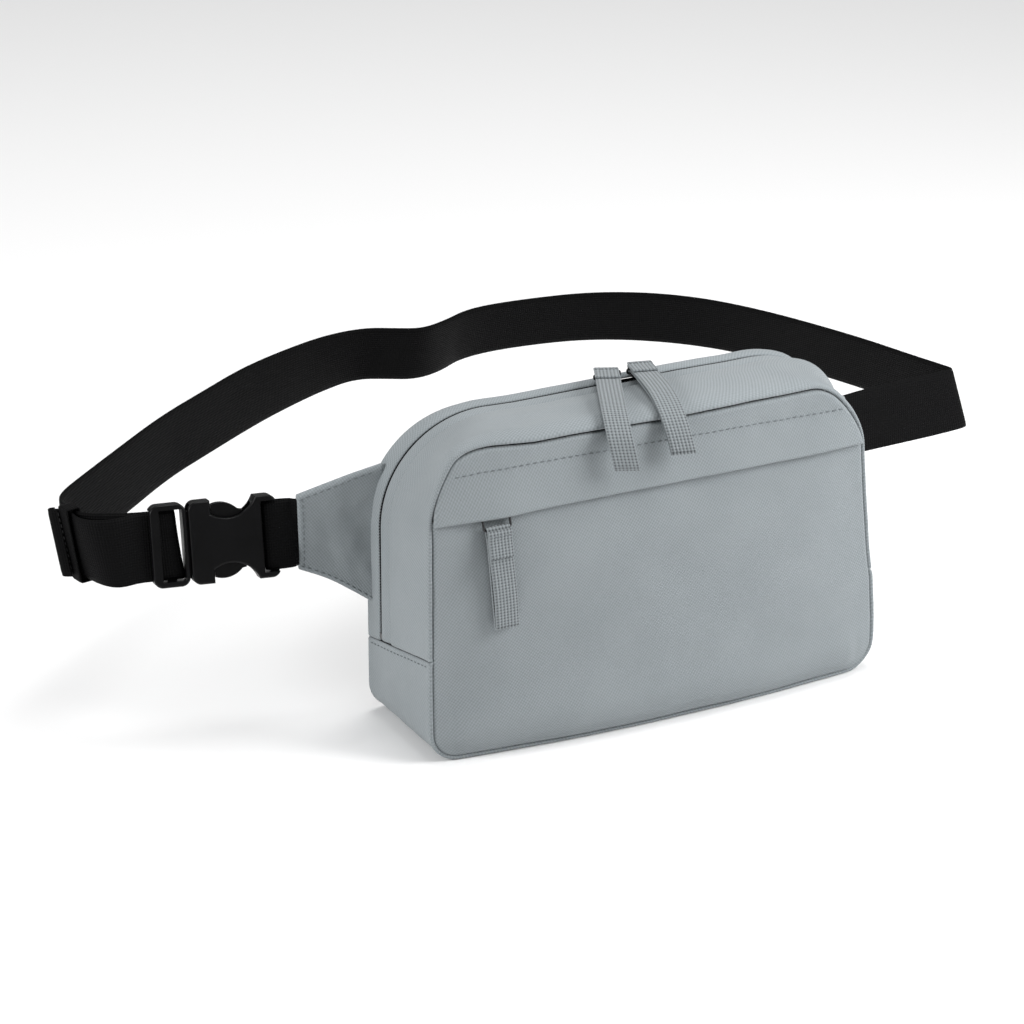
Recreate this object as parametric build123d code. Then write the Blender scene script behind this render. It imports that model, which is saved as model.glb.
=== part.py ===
"""Zipped belt bag on a webbing belt with a side-release buckle.

Millimetres, +Z up. The origin is the middle of the bag's flat bottom. The front faces -Y, and the
belt is closed in a loop behind the bag, towards +Y. Heights below are counted from the front panel's
bottom seam line, which is UNDERSIDE above the ground; every part is lifted by that when it is saved.
"""
from build123d import *
from math import atan2, cos, degrees, hypot, radians, sin, tan
import os

# --- bag -----------------------------------------------------------------------------------------
HALF_WIDTH = 110.0
FRONT_Y = -32.0
BACK_Y = 32.0
BOTTOM_RADIUS = 13.0
UNDERSIDE = 4.0                 # depth of the bottom gusset below the seam line
STATIONS = [(FRONT_Y, 135.0, 30.0), (-6.0, 138.0, 45.0), (24.0, 138.0, 52.0), (BACK_Y, 134.0, 46.0)]
CLOTH = 2.0                     # foam-backed cloth of the panels and gussets
BACK_CLOTH = 2.5                # the padded back
LINING = 0.8
POCKET_DEPTH = 6.0              # from the front panel's inside to the pocket lining
SEAM_FRONT_Z = 44.0             # cross seam of the side gusset, at the front and at the back
SEAM_BACK_Z = 31.0

# --- main zip, across the top and down both sides --------------------------------------------------
ZIP_Y = 19.0
WELT_FROM = 9.5
WELT_TO = 15.0
BACK_GUSSET_FROM = 23.0
TAPE = 0.7
TAPE_SLIT = 1.4                 # left between the two tapes and the two rows of teeth
RAIL_WIDTH = 1.1
RAIL_HEIGHT = 1.4
ZIP_FOOT_Z = 38.0
SLIDER_X = (1.5, 18.0)
PARTED = (6.8, 12.7)            # stretch between the sliders where the tapes stand apart
PARTED_WIDTH = 5.0

# --- pocket zip, under a flap on the front --------------------------------------------------------
POCKET_ZIP_Z = 110.5
POCKET_ZIP_HALF = 86.0
POCKET_SLIDER_X = -78.0
LOWER_PANEL_TOP = 106.0
FLAP_BOTTOM = 107.0
FLAP_PROUD = 3.4

# --- belt ------------------------------------------------------------------------------------------
BELT_Z = 86.0
WEB_WIDTH = 30.0
WEB = 1.4                       # webbing thickness
WING_END = (141.0, 34.2)
WING_END_HEIGHT = 34.5
WING_ROOT_HEIGHT = 71.0
WING_THICKNESS = 3.0
WING_TILT = 12.0
SWEEP = 12.2                    # the buckle's line, back from the X axis, degrees
BUCKLE_TILT = 15.0              # top leans back
KEEPER_LENGTH = 8.0
HEM_LENGTH = 9.0                # tail's end, folded back on itself

# Plan of the belt from the right wing, round the back, to the turn at the left end.
BELT_ROUTE = [(142.5, 34.5), (198, 38), (183, 88), (155, 160), (118, 203), (52, 221), (-2, 202),
              (-34, 218), (-90, 194), (-150, 154), (-203, 108), (-234, 84), (-227, 60), (-211.4, 52.4)]
TAIL_ROUTE = [(-212.3, 47.9), (-224.0, 50.3), (-229.3, 58.5), (-233.8, 78.0)]
BELT_CREASE_RADIUS = 5.0
BELT_SPLIT_X = -40.0            # from here to the buckle the webbing gives as the buckle is drawn out

parts = {}


def block(x, y, z):
    """A box from three (low, high) ranges."""
    size = [high - low for low, high in (x, y, z)]
    centre = [(high + low) / 2 for low, high in (x, y, z)]
    return Pos(*centre) * Box(*size)


def station(y):
    """Height and top corner radius of the bag's outline at one depth."""
    for (y0, h0, r0), (y1, h1, r1) in zip(STATIONS, STATIONS[1:]):
        if y <= y1:
            share = max(0.0, (y - y0) / (y1 - y0))
            return h0 + share * (h1 - h0), r0 + share * (r1 - r0)
    return STATIONS[-1][1:]


def outline(y, inset=0.0):
    """Face of the bag's cross-section at depth y, shrunk all round by inset."""
    height, radius = station(y)
    half = HALF_WIDTH - inset
    base = inset - UNDERSIDE
    corners = [(-half, base), (half, base), (half, height - inset), (-half, height - inset)]
    plane = Plane((0, y, 0), x_dir=(1, 0, 0), z_dir=(0, -1, 0))
    low, high = BOTTOM_RADIUS - inset, radius - inset
    return plane * make_face(FilletPolyline(*corners, radius=[low, low, high, high], close=True))


def slab(y0, y1, inset=0.0):
    """Solid between two depths that follows the bag's outline."""
    depths = [y0] + [s[0] for s in STATIONS if y0 < s[0] < y1] + [y1]
    return loft([outline(y, inset) for y in depths], ruled=True)


def ring(y0, y1, thickness, depth=0.0):
    """Strip of cloth or tape that runs round the outline, at a depth below the bag's surface."""
    return slab(y0, y1, depth) - slab(y0, y1, depth + thickness)


def profile(points, x0, x1):
    """Solid with a (Y, Z) outline, from x0 to x1."""
    plane = Plane((x0, 0, 0), x_dir=(0, 1, 0), z_dir=(1, 0, 0))
    return extrude(plane * make_face(Polyline(*points, close=True)), x1 - x0)


def above_cross_seam():
    """Everything above the sloping seam between the upper and the bottom gusset."""
    seam = [(FRONT_Y, SEAM_FRONT_Z), (BACK_Y, SEAM_BACK_Z)]
    return profile(seam + [(BACK_Y, 200), (FRONT_Y, 200)], -150, 150)


def panels():
    front = slab(FRONT_Y, FRONT_Y + CLOTH)
    inner_y = FRONT_Y + CLOTH
    parts["front_panel_lower"] = front & block((-150, 150), (-40, 0), (-10, LOWER_PANEL_TOP))
    flap = [(FRONT_Y - FLAP_PROUD, FLAP_BOTTOM), (FRONT_Y - FLAP_PROUD, 114), (FRONT_Y, 124),
            (FRONT_Y, 150), (inner_y, 150), (inner_y, 121.5), (inner_y - 1.6, 119.5),
            (FRONT_Y - 2.2, 113.4), (FRONT_Y - 2.2, FLAP_BOTTOM)]
    front_prism = extrude(outline(FRONT_Y), FLAP_PROUD + 1) + front
    parts["front_panel_upper"] = front_prism & profile(flap, -HALF_WIDTH, HALF_WIDTH)
    pocket_y = inner_y + POCKET_DEPTH
    parts["pocket_lining"] = slab(pocket_y, pocket_y + LINING, CLOTH)
    parts["back_panel"] = slab(BACK_Y - BACK_CLOTH, BACK_Y)


def gussets():
    y0, y1 = FRONT_Y + CLOTH, BACK_Y - BACK_CLOTH
    upper = above_cross_seam()
    parts["front_gusset"] = ring(y0, WELT_FROM, CLOTH) & upper
    parts["zip_welt"] = ring(WELT_FROM, WELT_TO, CLOTH) & upper
    parts["back_gusset"] = ring(BACK_GUSSET_FROM, y1, CLOTH) & upper
    parts["bottom_gusset"] = ring(y0, y1, CLOTH) - upper
    parts["seam_binding_front"] = ring(y0, y0 + 4, 1.2, CLOTH)
    parts["seam_binding_back"] = ring(y1 - 3.5, y1, 1.2, CLOTH)


def main_zip():
    """Two tapes under the welt and the back gusset, with a row of teeth along each inner edge."""
    upper = above_cross_seam()
    slit = TAPE_SLIT / 2
    gap = block(PARTED, (ZIP_Y - PARTED_WIDTH / 2, ZIP_Y + PARTED_WIDTH / 2), (100, 150))
    front_tape = ring(WELT_FROM, ZIP_Y - slit, TAPE, CLOTH)
    back_tape = ring(ZIP_Y + slit, BACK_Y - BACK_CLOTH - 3.5, TAPE, CLOTH)
    parts["main_zip_tape_front"] = (front_tape & upper) - gap
    parts["main_zip_tape_back"] = (back_tape & upper) - gap
    rail_depth = CLOTH - RAIL_HEIGHT
    rails = ring(ZIP_Y - slit - RAIL_WIDTH, ZIP_Y - slit, RAIL_HEIGHT, rail_depth)
    rails += ring(ZIP_Y + slit, ZIP_Y + slit + RAIL_WIDTH, RAIL_HEIGHT, rail_depth)
    for name, x in (("left", (-150, SLIDER_X[0])), ("right", (SLIDER_X[1], 150))):
        parts["main_zip_teeth_" + name] = rails & block(x, (0, 40), (ZIP_FOOT_Z, 150))
    stops = ring(ZIP_Y - 2, ZIP_Y + 2, RAIL_HEIGHT, rail_depth)
    parts["main_zip_stops"] = stops & block((-150, 150), (0, 40), (ZIP_FOOT_Z - 3, ZIP_FOOT_Z - 0.5))


def pocket_zip():
    back = FRONT_Y + CLOTH
    slit = TAPE_SLIT / 2
    ends = (-POCKET_ZIP_HALF - 6, POCKET_ZIP_HALF + 6)
    low, high = POCKET_ZIP_Z - slit, POCKET_ZIP_Z + slit
    parts["pocket_zip_tape_lower"] = block(ends, (back, back + TAPE), (100, low))
    parts["pocket_zip_tape_upper"] = block(ends, (back, back + TAPE), (high, 123))
    rail_y = (back - RAIL_HEIGHT, back)
    teeth_x = (-POCKET_ZIP_HALF, POCKET_ZIP_HALF)
    parts["pocket_zip_teeth"] = (block(teeth_x, rail_y, (low - RAIL_WIDTH, low))
                                 + block(teeth_x, rail_y, (high, high + RAIL_WIDTH)))
    stops = Part()
    for side in (-1, 1):
        x = sorted((side * (POCKET_ZIP_HALF + 0.5), side * (POCKET_ZIP_HALF + 2.5)))
        stops += block(x, rail_y, (POCKET_ZIP_Z - 2, POCKET_ZIP_Z + 2))
    parts["pocket_zip_stops"] = stops


def slider_shell(length=10.0):
    """Zip slider without its loop: x towards the closed teeth, z out of the tape, tape face at 0."""
    nose, tail, tip = 2.6, 3.4, length / 2
    plan = make_face(FilletPolyline((-tip, -tail), (tip, -nose), (tip, nose), (-tip, tail),
                                    radius=1.2, close=True))
    shell = Pos(0, 0, 1.7) * extrude(plan, 1.1) + Pos(0, 0, -2.1) * extrude(plan, 1.1)
    flange_length = length - 2.4
    for side in (-1, 1):
        shell += Pos(0, side * 2.45, 1.25) * Box(flange_length, 0.5, 1.5)
    post = block((-tip + 0.2, -tip + 2.4), (-0.35, 0.35), (-1.2, 1.9))
    return shell + post


def rod(start, end, radius):
    """Round rod between two points."""
    line = Vector(*end) - Vector(*start)
    return extrude(Plane(start, z_dir=line) * Circle(radius), line.length)


PIN = 0.6                       # radius of the slider's loop bar
MAIN_LOOP_Z = 5.3               # bar height above the tape
PULLER_BORE = PIN + 0.3
PULLER_THICKNESS = 2.6          # webbing doubled
PULLER_WIDTH = 11.0
PULLER_SWING = (-19.5, -7.0)    # how far the left and right pullers lie over to one side, degrees
LOOP_WIDTH = 5.0


def pulled_loop(path, x, swing=0.0):
    """Doubled webbing that turns round a bar at path[0] and follows path, in (Y, Z), at place x."""
    bar = path[0]
    edge = PULLER_WIDTH / 2 * sin(radians(abs(swing)))
    path = [bar] + [(bar[0] - (bar[0] - y + edge) / cos(radians(swing)), z) for y, z in path[1:]]
    plane = Plane((x, 0, 0), x_dir=(0, 1, 0), z_dir=(1, 0, 0))
    half = PULLER_THICKNESS / 2
    strip = Part()
    for a, b in zip(path, path[1:]):
        run = hypot(b[0] - a[0], b[1] - a[1])
        turn = degrees(atan2(b[1] - a[1], b[0] - a[0]))
        body = Pos(run / 2, 0) * Rectangle(run, PULLER_THICKNESS) + Pos(run, 0) * Circle(half)
        strip += extrude(plane * Pos(*a) * Rot(0, 0, turn) * body, PULLER_WIDTH / 2, both=True)
    strip = Pos(x, *bar) * Rot(0, 0, swing) * Pos(-x, -bar[0], -bar[1]) * strip
    reach = 7.0
    mask = Pos(x, *bar) * Cylinder(reach, PULLER_WIDTH + 2, rotation=(0, 90, 0))
    narrow = block((x - LOOP_WIDTH / 2, x + LOOP_WIDTH / 2), (-60, 60), (0, 200))
    eye = Pos(x, *bar) * Cylinder(half + PIN + 0.3, LOOP_WIDTH, rotation=(0, 90, 0))
    bore = Pos(x, *bar) * Cylinder(PULLER_BORE, PULLER_WIDTH + 2, rotation=(0, 90, 0))
    return (strip - mask) + (strip & mask & narrow) + eye - bore


def sliders():
    top_z = station(ZIP_Y)[0] - CLOTH
    bar_z = top_z + MAIN_LOOP_Z
    ear = 3.4
    for name, x, way, swing in (("left", SLIDER_X[0], -1, PULLER_SWING[0]),
                                ("right", SLIDER_X[1], 1, PULLER_SWING[1])):
        place = Plane((x, ZIP_Y, top_z), x_dir=(way, 0, 0), z_dir=(0, 0, 1)).location
        loop = rod((-ear, 0, MAIN_LOOP_Z), (ear, 0, MAIN_LOOP_Z), PIN)
        for end in (-1, 1):
            loop += rod((end * ear, 0, 2), (end * ear, 0, MAIN_LOOP_Z + PIN), PIN)
        parts["main_slider_" + name] = place * (slider_shell() + loop)
        drape = [(ZIP_Y, bar_z), (-27, 140.6), (-34.3, 135.8), (-37.4, 120.5)]
        parts["main_puller_" + name] = pulled_loop(drape, x, swing)
    tape_y = FRONT_Y + CLOTH
    place = Plane((POCKET_SLIDER_X, tape_y, POCKET_ZIP_Z), x_dir=(1, 0, 0), z_dir=(0, -1, 0)).location
    bar_y, bar_z = tape_y - 5.0, 102.5
    drop, out = bar_z - POCKET_ZIP_Z, tape_y - bar_y
    loop = rod((-ear, drop, out), (ear, drop, out), PIN)
    for end in (-1, 1):
        loop += rod((end * ear, -2.0, 2.3), (end * ear, drop, out), PIN)
    parts["pocket_slider"] = place * (slider_shell() + loop)
    parts["pocket_puller"] = pulled_loop([(bar_y, bar_z), (bar_y, 55.5)], POCKET_SLIDER_X)


def wing_section(x, y, z, height, tilt):
    """Slice across a wing, its top leaning back by tilt."""
    across = (0, cos(radians(tilt)), -sin(radians(tilt)))
    return Plane((x, y, z), x_dir=across, z_dir=(1, 0, 0)) * Rectangle(WING_THICKNESS, height)


def wings():
    """Tapered ears at the back seam, lofted from inside the bag and cut off at its surface."""
    body = slab(FRONT_Y, BACK_Y)
    for name, side in (("left", -1), ("right", 1)):
        root = wing_section(side * (HALF_WIDTH - 14), 26.5, 83.5, WING_ROOT_HEIGHT, 0)
        end = wing_section(side * WING_END[0], WING_END[1], BELT_Z, WING_END_HEIGHT, WING_TILT)
        parts["wing_" + name] = loft([root, end], ruled=True) - body


def strap(route, thickness=WEB, tight=None):
    """Webbing on edge along a plan route of straight runs and tangent arcs."""
    points = [Vector(*p) for p in route]
    radii = []
    for a, b, c in zip(points, points[1:], points[2:]):
        turn = (b - a).get_angle(c - b)
        shorter = min((b - a).length, (c - b).length)
        radii.append(0.45 * shorter / tan(radians(turn) / 2))
    for index, radius in (tight or {}).items():
        radii[index - 1] = radius
    print("strap radii", [round(r, 1) for r in radii])
    line = FilletPolyline(*route, radius=radii)
    edge = Pos(0, 0, BELT_Z - WEB_WIDTH / 2) * trace(line, line_width=thickness)
    solid = extrude(edge, WEB_WIDTH)
    print("strap length", round(line.length, 1), "volume", round(solid.volume / (thickness * WEB_WIDTH), 1))
    return solid


def belt():
    whole = strap(BELT_ROUTE, tight={1: BELT_CREASE_RADIUS, 11: 9.0})
    buckle_end = block((-300, BELT_SPLIT_X), (BACK_Y, 300), (0, 200))
    parts["belt_back"] = whole - buckle_end
    parts["belt_buckle_end"] = whole & buckle_end
    tip = Vector(*TAIL_ROUTE[-1])
    along = (tip - Vector(*TAIL_ROUTE[-2])).normalized()
    place = Plane((tip.X, tip.Y, BELT_Z), x_dir=(along.X, along.Y, 0), z_dir=(0, 0, 1)).location
    hem = place * Pos(0, WEB, 0) * Box(HEM_LENGTH, 3 * WEB, WEB_WIDTH)
    parts["belt_tail"] = strap(TAIL_ROUTE) + hem
    parts["keeper"] = keeper()


def keeper():
    """Flat loop round the belt and its tail."""
    inner, outer = Vector(*BELT_ROUTE[-2]), Vector(*TAIL_ROUTE[2])
    along = (Vector(*TAIL_ROUTE[3]) - outer).normalized()
    centre = (inner + outer) * 0.5 + along * 10
    place = Plane((centre.X, centre.Y, BELT_Z), x_dir=(along.X, along.Y, 0), z_dir=(0, 0, 1)).location
    return place * (Box(KEEPER_LENGTH, 6.6, WEB_WIDTH + 3) - Box(KEEPER_LENGTH + 1, 4.6, WEB_WIDTH + 1))


# --- buckle: x along the belt away from the bag, y to the front, z up ------------------------------
BUCKLE_HALF = 18.0
BUCKLE_THICK = 5.0              # half thickness of the female half
SLOT_HALF = 15.6
MOUTH = 48.2
CAVITY_Y = 2.7
HEAD_TOP = 16.4
HINGE_S, HINGE_Z = 43.4, 11.0
ARM_Y = 2.1
ADJUSTER = (49.0, 65.0)


def buckle_place():
    plane = Plane((-WING_END[0], WING_END[1], BELT_Z),
                  x_dir=(-cos(radians(SWEEP)), sin(radians(SWEEP)), 0), z_dir=(0, 0, 1))
    return plane.location * Rot(BUCKLE_TILT, 0, 0)


def side_face(sketch, half, y=0.0):
    """Extrude an (s, z) sketch both ways from the buckle's middle plane."""
    plane = Plane((0, y, 0), x_dir=(1, 0, 0), z_dir=(0, -1, 0))
    return extrude(plane * sketch, half, both=True)


def buckle_female():
    ear_from = 9.5
    plan = Pos((ear_from + MOUTH) / 2, 0) * RectangleRounded(MOUTH - ear_from, 2 * BUCKLE_HALF, 3.9)
    for side in (-1, 1):
        cut = Pos(31.0, side * 23.0) * Circle(13.2) - Pos(45, side * 20) * Rectangle(13, 20)
        plan -= cut
    shell = side_face(plan, BUCKLE_THICK)
    shell = fillet(shell.faces().sort_by(Axis.Y)[-1].edges(), 1.0)
    shell = fillet(shell.faces().sort_by(Axis.Y)[0].edges(), 1.0)
    shell -= block((20, MOUTH + 1), (-CAVITY_Y, CAVITY_Y), (-HEAD_TOP - 0.5, HEAD_TOP + 0.5))
    shell -= block((13.5, 16.7), (-9, 9), (-SLOT_HALF, SLOT_HALF))
    for side in (-1, 1):
        y = sorted((side * 1.6, side * 9))
        shell -= block((0, 14), y, (-SLOT_HALF, SLOT_HALF))
    return shell


def buckle_male():
    s0, s1 = ADJUSTER
    plan = Pos((s0 + s1) / 2, 0) * RectangleRounded(s1 - s0, 2 * BUCKLE_HALF, 4.0)
    frame = side_face(plan, 3.8, 0.8)
    frame = fillet(frame.faces().sort_by(Axis.Y)[-1].edges(), 1.0)
    frame -= block((50.8, 61.0), (-9, 9), (-SLOT_HALF, SLOT_HALF))
    frame -= block((60, 67), (-9, 1.8), (-SLOT_HALF, SLOT_HALF))
    frame += block((54.4, 58.5), (-2.0, 0.2), (-SLOT_HALF - 1, SLOT_HALF + 1))
    base = block((HINGE_S - 0.6, s0 + 0.5), (-ARM_Y, ARM_Y), (-14, 14))
    tongue = block((24, HINGE_S + 1), (-ARM_Y, ARM_Y), (-2.5, 2.5))
    male = frame + base + tongue
    for side in (-1, 1):
        seat = Pos(HINGE_S, 0, side * HINGE_Z) * Cylinder(2.3, 20, rotation=(90, 0, 0))
        male -= seat
        male -= block((HINGE_S - 3, HINGE_S), (-9, 9), sorted((side * 8.6, side * 15)))
    return male


def prong(side):
    """Springy arm with a rounded thumb head that stands in the window of the female half."""
    arm = make_face(Polyline((HINGE_S, 9.0), (HINGE_S, 13.0), (34, 14), (24, 12.5), (24, 8.6), close=True))
    head = Pos(34.0, 5.4) * Circle(11.0) & Pos(30.0, 13) * Rectangle(15.8, 7.0)
    root = Pos(HINGE_S, HINGE_Z) * Circle(2.0)
    plan = arm + head + root
    if side < 0:
        plan = mirror(plan, about=Plane.XZ)
    return side_face(plan, ARM_Y)


def buckle():
    place = buckle_place()
    parts["buckle_female"] = place * buckle_female()
    parts["buckle_male"] = place * buckle_male()
    parts["prong_upper"] = place * prong(1)
    parts["prong_lower"] = place * prong(-1)
    half = WEB_WIDTH / 2
    loop = block((0.6, 15.6), (-3.2, 3.2), (-half, half)) - block((2.2, 14.2), (-1.8, 1.8), (-20, 20))
    parts["webbing_loop"] = place * loop
    turn = block((52.8, 70.0), (-3.6, 1.6), (-half, half)) - block((54.2, 80), (-2.2, 0.4), (-20, 20))
    parts["adjuster_turn"] = place * turn
    for z in (HINGE_Z, -HINGE_Z):
        hinge = (place * Pos(HINGE_S, 0, z)).position + Vector(0, 0, UNDERSIDE)
        print("prong hinge", [round(v, 3) for v in hinge])


panels()
gussets()
main_zip()
pocket_zip()
sliders()
wings()
belt()
buckle()

os.makedirs("parts", exist_ok=True)
for name, shape in parts.items():
    lifted = Pos(0, 0, UNDERSIDE) * shape
    lifted.label = name
    export_step(lifted, f"parts/{name}.step")
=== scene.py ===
"""Grey zipped belt bag: the looks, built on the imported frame. Metres, +Z up, front towards -Y."""
import math

import bpy
import bmesh
import numpy as np
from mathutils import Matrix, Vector, noise
from mathutils.bvhtree import BVHTree


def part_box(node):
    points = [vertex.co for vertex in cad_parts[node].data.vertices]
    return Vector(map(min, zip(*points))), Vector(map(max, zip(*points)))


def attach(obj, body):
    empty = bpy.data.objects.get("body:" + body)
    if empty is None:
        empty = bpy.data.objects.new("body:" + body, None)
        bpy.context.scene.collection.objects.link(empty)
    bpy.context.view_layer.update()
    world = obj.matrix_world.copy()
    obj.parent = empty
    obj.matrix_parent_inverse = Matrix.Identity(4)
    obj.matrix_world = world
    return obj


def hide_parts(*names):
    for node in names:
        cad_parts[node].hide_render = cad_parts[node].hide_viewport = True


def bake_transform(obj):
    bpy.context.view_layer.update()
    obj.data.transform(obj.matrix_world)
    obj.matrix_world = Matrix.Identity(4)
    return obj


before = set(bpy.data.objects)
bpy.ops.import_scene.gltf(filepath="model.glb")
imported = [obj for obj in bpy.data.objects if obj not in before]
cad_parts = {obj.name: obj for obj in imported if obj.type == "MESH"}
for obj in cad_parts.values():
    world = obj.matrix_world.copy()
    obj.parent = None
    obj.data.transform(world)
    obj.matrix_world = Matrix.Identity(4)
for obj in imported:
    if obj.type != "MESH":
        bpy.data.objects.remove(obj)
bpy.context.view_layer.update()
MM = 0.001

# --- sizes in millimetres, the same driving values as the CAD part ----------------------------------
HALF_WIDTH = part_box("front_gusset")[1].x / MM
FRONT_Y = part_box("front_panel_lower")[0].y / MM
BACK_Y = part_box("back_panel")[1].y / MM
BOTTOM_RADIUS = 13.0
UNDERSIDE = 4.0                 # heights are counted from the front seam line, this far above the ground
STATION_Y = (-32.0, -6.0, 24.0, 32.0)
STATION_HEIGHT = (135.0, 138.0, 138.0, 134.0)
STATION_RADIUS = (30.0, 45.0, 52.0, 46.0)
CROSS_SEAM_FRONT_Z = 44.0
CROSS_SEAM_BACK_Z = 31.0
WELT_FOLD_Y = 9.5
WELT_LIP_Y = 18.35
BACK_LIP_Y = 19.65
ZIP_Y = 19.0
LINING_Y = -25.0
CHANNELS = (-40.0, 40.0)        # lines where the padded back is sewn down
FLAP_FOLD_Z = 107.0
SLIDER_X = (1.5, 18.0)
POCKET_X = -80.2
TAPE_Z = 134.3                  # height of the main zip's tapes between its sliders
PULLER_WIDTH, PULLER_THICK = 11.0, 1.05
PARTED = (6.8, 12.7)
BELT_Z = 86.0
WEB_WIDTH = 30.0
WEB = 1.4


# --- materials --------------------------------------------------------------------------------------
def linear(code):
    """sRGB hex to linear RGBA."""
    values = [int(code[i:i + 2], 16) / 255 for i in (0, 2, 4)]
    return tuple(v / 12.92 if v < 0.04045 else ((v + 0.055) / 1.055) ** 2.4 for v in values) + (1.0,)


def add(tree, kind, inputs=None, out=0, **settings):
    """One node with its settings and links: each of inputs is a value or another node's output. Gives
    back one of its outputs."""
    made = tree.nodes.new(kind)
    for key, setting in settings.items():
        setattr(made, key, setting)
    for key, given in (inputs or {}).items():
        if isinstance(given, bpy.types.NodeSocket):
            tree.links.new(given, made.inputs[key])
        else:
            made.inputs[key].default_value = given
    return made.outputs[out]


UV, OBJECT, MAPPING = "ShaderNodeUVMap", "ShaderNodeTexCoord", "ShaderNodeMapping"
WAVE, NOISE, CELLS = "ShaderNodeTexWave", "ShaderNodeTexNoise", "ShaderNodeTexVoronoi"
MATH, MIX, BUMP, RANGE = "ShaderNodeMath", "ShaderNodeMix", "ShaderNodeBump", "ShaderNodeMapRange"


def surface(name, roughness=0.6, **constants):
    """A material with one Principled shader, its constant values set on its own sockets."""
    made = bpy.data.materials.new(name)
    made.use_nodes = True
    shader = made.node_tree.nodes["Principled BSDF"]
    shader.inputs["Roughness"].default_value = roughness
    for key, constant in constants.items():
        shader.inputs[key.replace("_", " ")].default_value = constant
    return made, made.node_tree, shader


def bands(period, wobble=0.0):
    """Inputs of a Wave Texture that repeats every period metres: 0 in the gaps, 1 on each thread."""
    return {"Scale": math.tau / (20 * period), "Distortion": wobble, "Detail": 1.0, "Detail Scale": 1.5}


def blotches(size, detail=2.0, roughness=0.5):
    """Inputs of a Noise Texture with blotches of about size metres."""
    return {"Scale": 1 / size, "Detail": detail, "Roughness": roughness}


def weighed(tree, *terms):
    """Sum of (output, weight) pairs."""
    total = 0.0
    for output, weight in terms:
        total = add(tree, MATH, {0: output, 1: weight, 2: total}, operation="MULTIPLY_ADD")
    return total


def shaded(tree, shader, shade, dark, light, height=None, depth=0.0, strength=1.0, roughness=None):
    """Colour from dark to light with shade, relief from height in metres, and a varying roughness."""
    colour = add(tree, MIX, {0: shade, 6: linear(dark), 7: linear(light)}, out=2, data_type="RGBA")
    tree.links.new(colour, shader.inputs["Base Color"])
    if height is not None:
        relief = add(tree, BUMP, {"Height": height, "Distance": depth, "Strength": strength})
        tree.links.new(relief, shader.inputs["Normal"])
    if roughness is not None:
        tree.links.new(roughness, shader.inputs["Roughness"])


def woven_polyester():
    """Grey 600-denier polyester, plain-woven and coated behind: a fine dull grain that runs in diagonals.
    The yarns are 0.5 mm apart, too fine to show, so they are drawn at 1.15 mm."""
    made, tree, shader = surface("woven_polyester_grey", 0.82, Sheen_Weight=0.1, Sheen_Roughness=0.5,
                                 Specular_IOR_Level=0.25)
    where = add(tree, UV, uv_map="weave")
    yarns = []
    for angle in (38, -52):
        turned = add(tree, MAPPING, {"Vector": where, "Rotation": (0, 0, math.radians(angle))})
        yarns.append(add(tree, WAVE, {"Vector": turned, **bands(0.00115, 0.35)}, out=1))
    slub = add(tree, NOISE, {"Vector": where, **blotches(0.0011, 2.0, 0.6)})
    broad = add(tree, NOISE, {"Vector": where, **blotches(0.035)})
    cloth = weighed(tree, (yarns[0], 0.62), (yarns[1], 0.38))
    shade = weighed(tree, (cloth, 0.5), (slub, 0.28), (broad, 0.3))
    shaded(tree, shader, shade, "697073", "93999C", weighed(tree, (slub, 0.5), (cloth, 1.0)), 0.00022, 0.42)
    return made


def ribbed_webbing():
    """Polypropylene webbing woven on a needle loom: lengthwise ribs crossed by fine picks, dull black.
    The ribs are 0.8 mm apart and the picks 0.6 mm, and both are drawn a little coarser."""
    made, tree, shader = surface("ribbed_polypropylene_black", 0.6, Specular_IOR_Level=0.06)
    where = add(tree, UV, uv_map="weave")
    rows = add(tree, WAVE, {"Vector": where, **bands(0.0012, 0.1)}, out=1, bands_direction="Y")
    picks = add(tree, WAVE, {"Vector": where, **bands(0.0011, 0.2)}, out=1)
    wool = add(tree, NOISE, {"Vector": where, **blotches(0.0016, 3.0, 0.6)})
    broad = add(tree, NOISE, {"Vector": where, **blotches(0.03)})
    height = weighed(tree, (rows, 0.55), (picks, 0.5))
    shade = weighed(tree, (height, 0.5), (wool, 0.3), (broad, 0.25))
    shaded(tree, shader, shade, "020202", "0C0C0D", weighed(tree, (wool, 0.3), (height, 1.0)), 0.0003, 0.7)
    return made


def puller_tape():
    """Grey polyester tape: lengthwise cords with thin dark lines between them, in an open grid of holes."""
    made, tree, shader = surface("corded_tape_grey", 0.8, Sheen_Weight=0.1, Sheen_Roughness=0.5,
                                 Specular_IOR_Level=0.25)
    where = add(tree, UV, uv_map="weave")
    cords = add(tree, WAVE, {"Vector": where, **bands(0.00157)}, out=1, bands_direction="Y")
    picks = add(tree, WAVE, {"Vector": where, **bands(0.00135, 0.1)}, out=1)
    wool = add(tree, NOISE, {"Vector": where, **blotches(0.0009)})
    gap = add(tree, MATH, {0: 1.0, 1: cords}, operation="SUBTRACT")
    line = add(tree, MATH, {0: gap, 1: 3.0}, operation="POWER")
    across = add(tree, MATH, {0: 1.0, 1: picks}, operation="SUBTRACT")
    hole = add(tree, MATH, {0: gap, 1: across}, operation="MULTIPLY")
    shade = weighed(tree, (wool, 0.34), (line, -0.26), (hole, -0.38), (picks, 0.16))
    shade = add(tree, MATH, {0: shade, 1: 0.62}, operation="ADD", use_clamp=True)
    shaded(tree, shader, shade, "2E3234", "8B9194", weighed(tree, (cords, 0.8), (picks, 0.3)), 0.00035, 0.8)
    return made


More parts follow.
